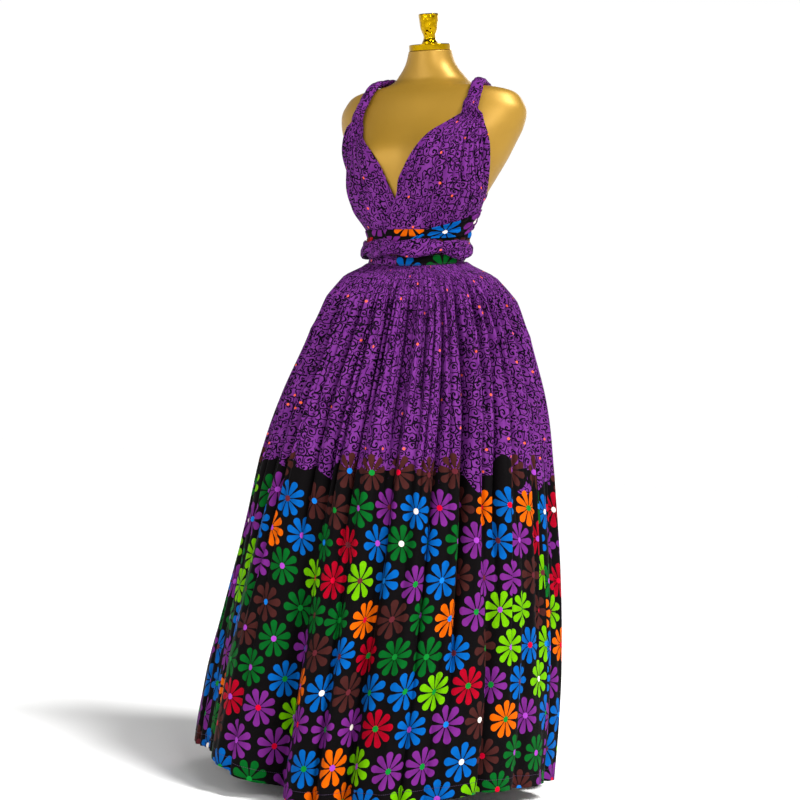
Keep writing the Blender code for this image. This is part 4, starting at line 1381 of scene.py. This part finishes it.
def stitch_tree():
    """Geometry nodes: small stitches set along a line, turned along it."""
    tree = bpy.data.node_groups.new("stitches", "GeometryNodeTree")
    tree.interface.new_socket("Geometry", in_out="INPUT", socket_type="NodeSocketGeometry")
    for label, default in (("Pitch", 0.0042), ("Length", 0.0028), ("Radius", 0.0004)):
        socket = tree.interface.new_socket(label, in_out="INPUT", socket_type="NodeSocketFloat")
        socket.default_value = default
    tree.interface.new_socket("Thread", in_out="INPUT", socket_type="NodeSocketMaterial")
    tree.interface.new_socket("Geometry", in_out="OUTPUT", socket_type="NodeSocketGeometry")
    given = add(tree, "NodeGroupInput").outputs
    line = add(tree, "GeometryNodeMeshToCurve", {0: given["Geometry"]}).outputs[0]
    spaced = add(
        tree, "GeometryNodeResampleCurve", {"Curve": line, "Length": given["Pitch"]}, mode="LENGTH"
    ).outputs[0]
    tangent = add(tree, "GeometryNodeInputTangent").outputs[0]
    facing = add(tree, "FunctionNodeAlignRotationToVector", {"Vector": tangent}, axis="Z").outputs[0]
    stitch = add(
        tree,
        "GeometryNodeMeshCylinder",
        {"Vertices": 6, "Radius": given["Radius"], "Depth": given["Length"]},
        fill_type="TRIANGLE_FAN",
    ).outputs[0]
    placed = add(
        tree, "GeometryNodeInstanceOnPoints", {"Points": spaced, "Instance": stitch, "Rotation": facing}
    ).outputs[0]
    real = add(tree, "GeometryNodeRealizeInstances", {0: placed}).outputs[0]
    done = add(tree, "GeometryNodeSetMaterial", {"Geometry": real, "Material": given["Thread"]}).outputs[0]
    add(tree, "NodeGroupOutput", {0: done})
    return tree


def make_stitches(name, points, closed, tree, material):
    """A row of stitches along a line of points, as a plain mesh."""
    mesh = bpy.data.meshes.new(name)
    edges = [(k, k + 1) for k in range(len(points) - 1)]
    if closed:
        edges.append((len(points) - 1, 0))
    mesh.from_pydata([tuple(point) for point in points], edges, [])
    guide = bpy.data.objects.new(name + "_guide", mesh)
    bpy.context.scene.collection.objects.link(guide)
    modifier = guide.modifiers.new("stitches", "NODES")
    modifier.node_group = tree
    for item in tree.interface.items_tree:
        if item.name == "Thread":
            modifier[item.identifier] = material
    graph = bpy.context.evaluated_depsgraph_get()
    made = bpy.data.meshes.new_from_object(guide.evaluated_get(graph), depsgraph=graph)
    made.name = name
    bpy.data.objects.remove(guide)
    obj = bpy.data.objects.new(name, made)
    bpy.context.scene.collection.objects.link(obj)
    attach(obj, ROOT)


def make_sewing():
    tree = stitch_tree()
    yarn = thread()
    angle = np.linspace(-180.0, 180.0, 1400, endpoint=False)
    share = np.full_like(angle, 0.978)
    points, _ = skirt_surface(angle[None], share[None])
    make_stitches("hem_stitches", points[0] + radial(angle) * 0.0002, True, tree, yarn)
    low = seam_height(angle)
    for name, up in (("waistband_stitches_low", 0.0028), ("waistband_stitches_high", 0.0200)):
        heights = low + up
        reach = np.array([form.reach(a, h) for a, h in zip(angle, heights)]) + 0.0033
        line = radial(angle) * reach[:, None]
        line[:, 2] = heights
        make_stitches(name, line, True, tree, yarn)


# Operators


class DressSizes(bpy.types.PropertyGroup):
    skirt_columns: bpy.props.IntProperty(
        name="Skirt columns", description="Points across each half of the skirt", default=620, min=60
    )
    skirt_rows: bpy.props.IntProperty(
        name="Skirt rows", description="Points down each half of the skirt", default=118, min=20
    )
    form_rows: bpy.props.IntProperty(
        name="Form rows", description="Levels of the dress form", default=170, min=30
    )
    panel_points: bpy.props.IntProperty(
        name="Panel points", description="Points across and down each bodice panel", default=180, min=20
    )
    hem_height: bpy.props.FloatProperty(
        name="Hem height",
        description="How far the lowest part of the hem hangs above the floor",
        default=HEM_HEIGHT,
        min=0.0,
        unit="LENGTH",
    )
    rope_pitch: bpy.props.FloatProperty(
        name="Rope pitch",
        description="How far a shoulder rope runs in one turn of its twist",
        default=TWIST["pitch"],
        min=0.03,
        unit="LENGTH",
    )
    ground_dark: bpy.props.FloatVectorProperty(
        name="Ground, dark",
        description="Darker of the print's two purples",
        subtype="COLOR",
        size=4,
        default=linear("#4E135F"),
    )
    ground_light: bpy.props.FloatVectorProperty(
        name="Ground, light",
        description="Lighter of the print's two purples",
        subtype="COLOR",
        size=4,
        default=linear("#7E388F"),
    )
    border_ground: bpy.props.FloatVectorProperty(
        name="Border",
        description="Ground of the border behind the daisies",
        subtype="COLOR",
        size=4,
        default=linear("#090708"),
    )
    form_dark: bpy.props.FloatVectorProperty(
        name="Form, dark",
        description="Darker of the form's two golds",
        subtype="COLOR",
        size=4,
        default=linear("#9A7420"),
    )
    form_light: bpy.props.FloatVectorProperty(
        name="Form, light",
        description="Lighter of the form's two golds",
        subtype="COLOR",
        size=4,
        default=linear("#AE8629"),
    )
    floor_colour: bpy.props.FloatVectorProperty(
        name="Floor", description="Colour of the floor", subtype="COLOR", size=4, default=linear("#FBFBFA")
    )


class OBJECT_OT_dress_form(bpy.types.Operator):
    """Build the satin gold form with its cap and finial, and the stand"""

    bl_idname = "dress.form"
    bl_label = "Form and stand"

    def execute(self, context):
        make_form(chosen().form_rows)
        make_stand()
        return {"FINISHED"}


class OBJECT_OT_dress_skirt(bpy.types.Operator):
    """Build the gathered skirt, cut in a front and a back, and its waistband"""

    bl_idname = "dress.skirt"
    bl_label = "Skirt and waistband"

    def execute(self, context):
        wax_print()
        make_waistband()
        make_skirt(chosen().skirt_columns, chosen().skirt_rows)
        return {"FINISHED"}


class OBJECT_OT_dress_bodice(bpy.types.Operator):
    """Build the two strap panels that are draped over the bust"""

    bl_idname = "dress.bodice"
    bl_label = "Draped panels"

    def execute(self, context):
        make_bodice(chosen().panel_points, chosen().panel_points)
        return {"FINISHED"}


class OBJECT_OT_dress_straps(bpy.types.Operator):
    """Build the twisted shoulder straps, the crossed back straps and the turns round the waist"""

    bl_idname = "dress.straps"
    bl_label = "Straps and wraps"

    def execute(self, context):
        make_shoulder_twists(TWIST["sides"], TWIST["rings"])
        _, left_back = [make_strap(form, *row) for row in BACK_STRAPS]
        make_wound_wrap(WOUND["sides"], WOUND["rings"])
        dressed.add(left_back)
        dressed.add(make_upper_wrap())
        make_strap(dressed, *SIDE_STRAP)
        return {"FINISHED"}


class OBJECT_OT_dress_sewing(bpy.types.Operator):
    """Sew the hem and the waistband with rows of stitches"""

    bl_idname = "dress.sewing"
    bl_label = "Stitches"

    def execute(self, context):
        make_sewing()
        return {"FINISHED"}


class OBJECT_OT_dress_stage(bpy.types.Operator):
    """Set the floor, the lights and the camera"""

    bl_idname = "dress.stage"
    bl_label = "Floor, lights and camera"

    def execute(self, context):
        make_stage()
        return {"FINISHED"}


class VIEW3D_PT_dress(bpy.types.Panel):
    bl_label = "Dress"
    bl_space_type = "VIEW_3D"
    bl_region_type = "UI"
    bl_category = "Dress"

    def draw(self, context):
        for name in DressSizes.__annotations__:
            self.layout.prop(chosen(), name)
        for operator in OPERATORS:
            self.layout.operator(operator.bl_idname)


OPERATORS = (
    OBJECT_OT_dress_form,
    OBJECT_OT_dress_skirt,
    OBJECT_OT_dress_bodice,
    OBJECT_OT_dress_straps,
    OBJECT_OT_dress_sewing,
    OBJECT_OT_dress_stage,
)


# Stage


FLOOR_REACH = 30.0
# The studio is white up to just above the top of the picture, and dark overhead.
STUDIO = {"white_up_to": 0.27, "dark_from": 0.60, "white": 1.01, "dark": 0.10}
# Soft lamps: name, place, size and watts. All of them point at the middle of the dress.
LAMPS = (
    ("key", (2.4, -2.4, 2.3), 0.9, 38.0),
    ("fill", (-0.9, -3.4, 2.3), 1.6, 28.0),
    ("back", (-0.4, 2.9, 2.4), 1.4, 22.0),
)
LAMPS_AIM = (0.0, 0.0, 0.9)
SKYLIGHT = {"strength": 3.9, "spread": 16.0, "tilt": 37.0, "turn": 82.0}
# The photograph's camera: degrees round from the front, distance and height, and a slight roll.
CAMERA = {"turn": 28.0, "away": 3.3, "height": 0.70, "roll": 3.6, "lens": 71.3, "sensor": 36.0}
CAMERA_AIM = (-0.026, -0.014, 0.783)


def make_stage():
    scene = bpy.context.scene
    material, _, shader = new_material("pale_floor")
    shader.inputs["Base Color"].default_value = chosen().floor_colour
    shader.inputs["Roughness"].default_value = 0.9
    mesh = bpy.data.meshes.new("floor")
    corners = [(x * FLOOR_REACH, y * FLOOR_REACH, 0) for x, y in ((-1, -1), (1, -1), (1, 1), (-1, 1))]
    mesh.from_pydata(corners, [], [(0, 1, 2, 3)])
    mesh.materials.append(material)
    floor = bpy.data.objects.new("floor", mesh)
    scene.collection.objects.link(floor)

    # The dark overhead gives the gold something to reflect.
    world = bpy.data.worlds.new("studio")
    scene.world = world
    world.use_nodes = True
    sky = world.node_tree
    way = add(sky, "ShaderNodeTexCoord").outputs["Generated"]
    height = add(sky, "ShaderNodeSeparateXYZ", {0: way}).outputs[2]
    ramp = add(sky, "ShaderNodeMapRange", {0: height, **dict(enumerate(STUDIO.values(), 1))})
    tone = add(sky, "ShaderNodeCombineColor", {k: ramp.outputs[0] for k in range(3)})
    sky.links.new(tone.outputs[0], sky.nodes["Background"].inputs[0])

    for name, place, size, watts in LAMPS:
        data = bpy.data.lights.new(name, "AREA")
        data.size = size
        data.energy = watts
        light = bpy.data.objects.new(name, data)
        light.location = place
        towards = Vector(LAMPS_AIM) - Vector(place)
        light.rotation_euler = towards.to_track_quat("-Z", "Y").to_euler()
        scene.collection.objects.link(light)
    data = bpy.data.lights.new("skylight", "SUN")
    data.energy = SKYLIGHT["strength"]
    data.angle = math.radians(SKYLIGHT["spread"])
    light = bpy.data.objects.new("skylight", data)
    light.rotation_euler = (math.radians(SKYLIGHT["tilt"]), 0.0, math.radians(SKYLIGHT["turn"]))
    scene.collection.objects.link(light)

    camera = bpy.data.objects.new("camera", bpy.data.cameras.new("camera"))
    scene.collection.objects.link(camera)
    camera.data.sensor_width = CAMERA["sensor"]
    camera.data.lens = CAMERA["lens"]
    turn = math.radians(CAMERA["turn"])
    place = Vector((math.sin(turn) * CAMERA["away"], -math.cos(turn) * CAMERA["away"], CAMERA["height"]))
    facing = (Vector(CAMERA_AIM) - place).to_track_quat("-Z", "Y").to_matrix().to_4x4()
    roll = Matrix.Rotation(math.radians(CAMERA["roll"]), 4, "Z")
    camera.matrix_world = Matrix.Translation(place) @ facing @ roll
    scene.camera = camera
    scene.view_settings.view_transform = "Standard"


def register():
    for made in (DressSizes, *OPERATORS, VIEW3D_PT_dress):
        bpy.utils.register_class(made)
    bpy.types.Scene.dress_sizes = bpy.props.PointerProperty(type=DressSizes)


def unregister():
    del bpy.types.Scene.dress_sizes
    for made in (VIEW3D_PT_dress, *reversed(OPERATORS), DressSizes):
        bpy.utils.unregister_class(made)


def main():
    register()
    bpy.ops.dress.form()
    bpy.ops.dress.skirt()
    bpy.ops.dress.bodice()
    bpy.ops.dress.straps()
    bpy.ops.dress.sewing()
    bpy.ops.dress.stage()


if __name__ == "__main__":
    main()
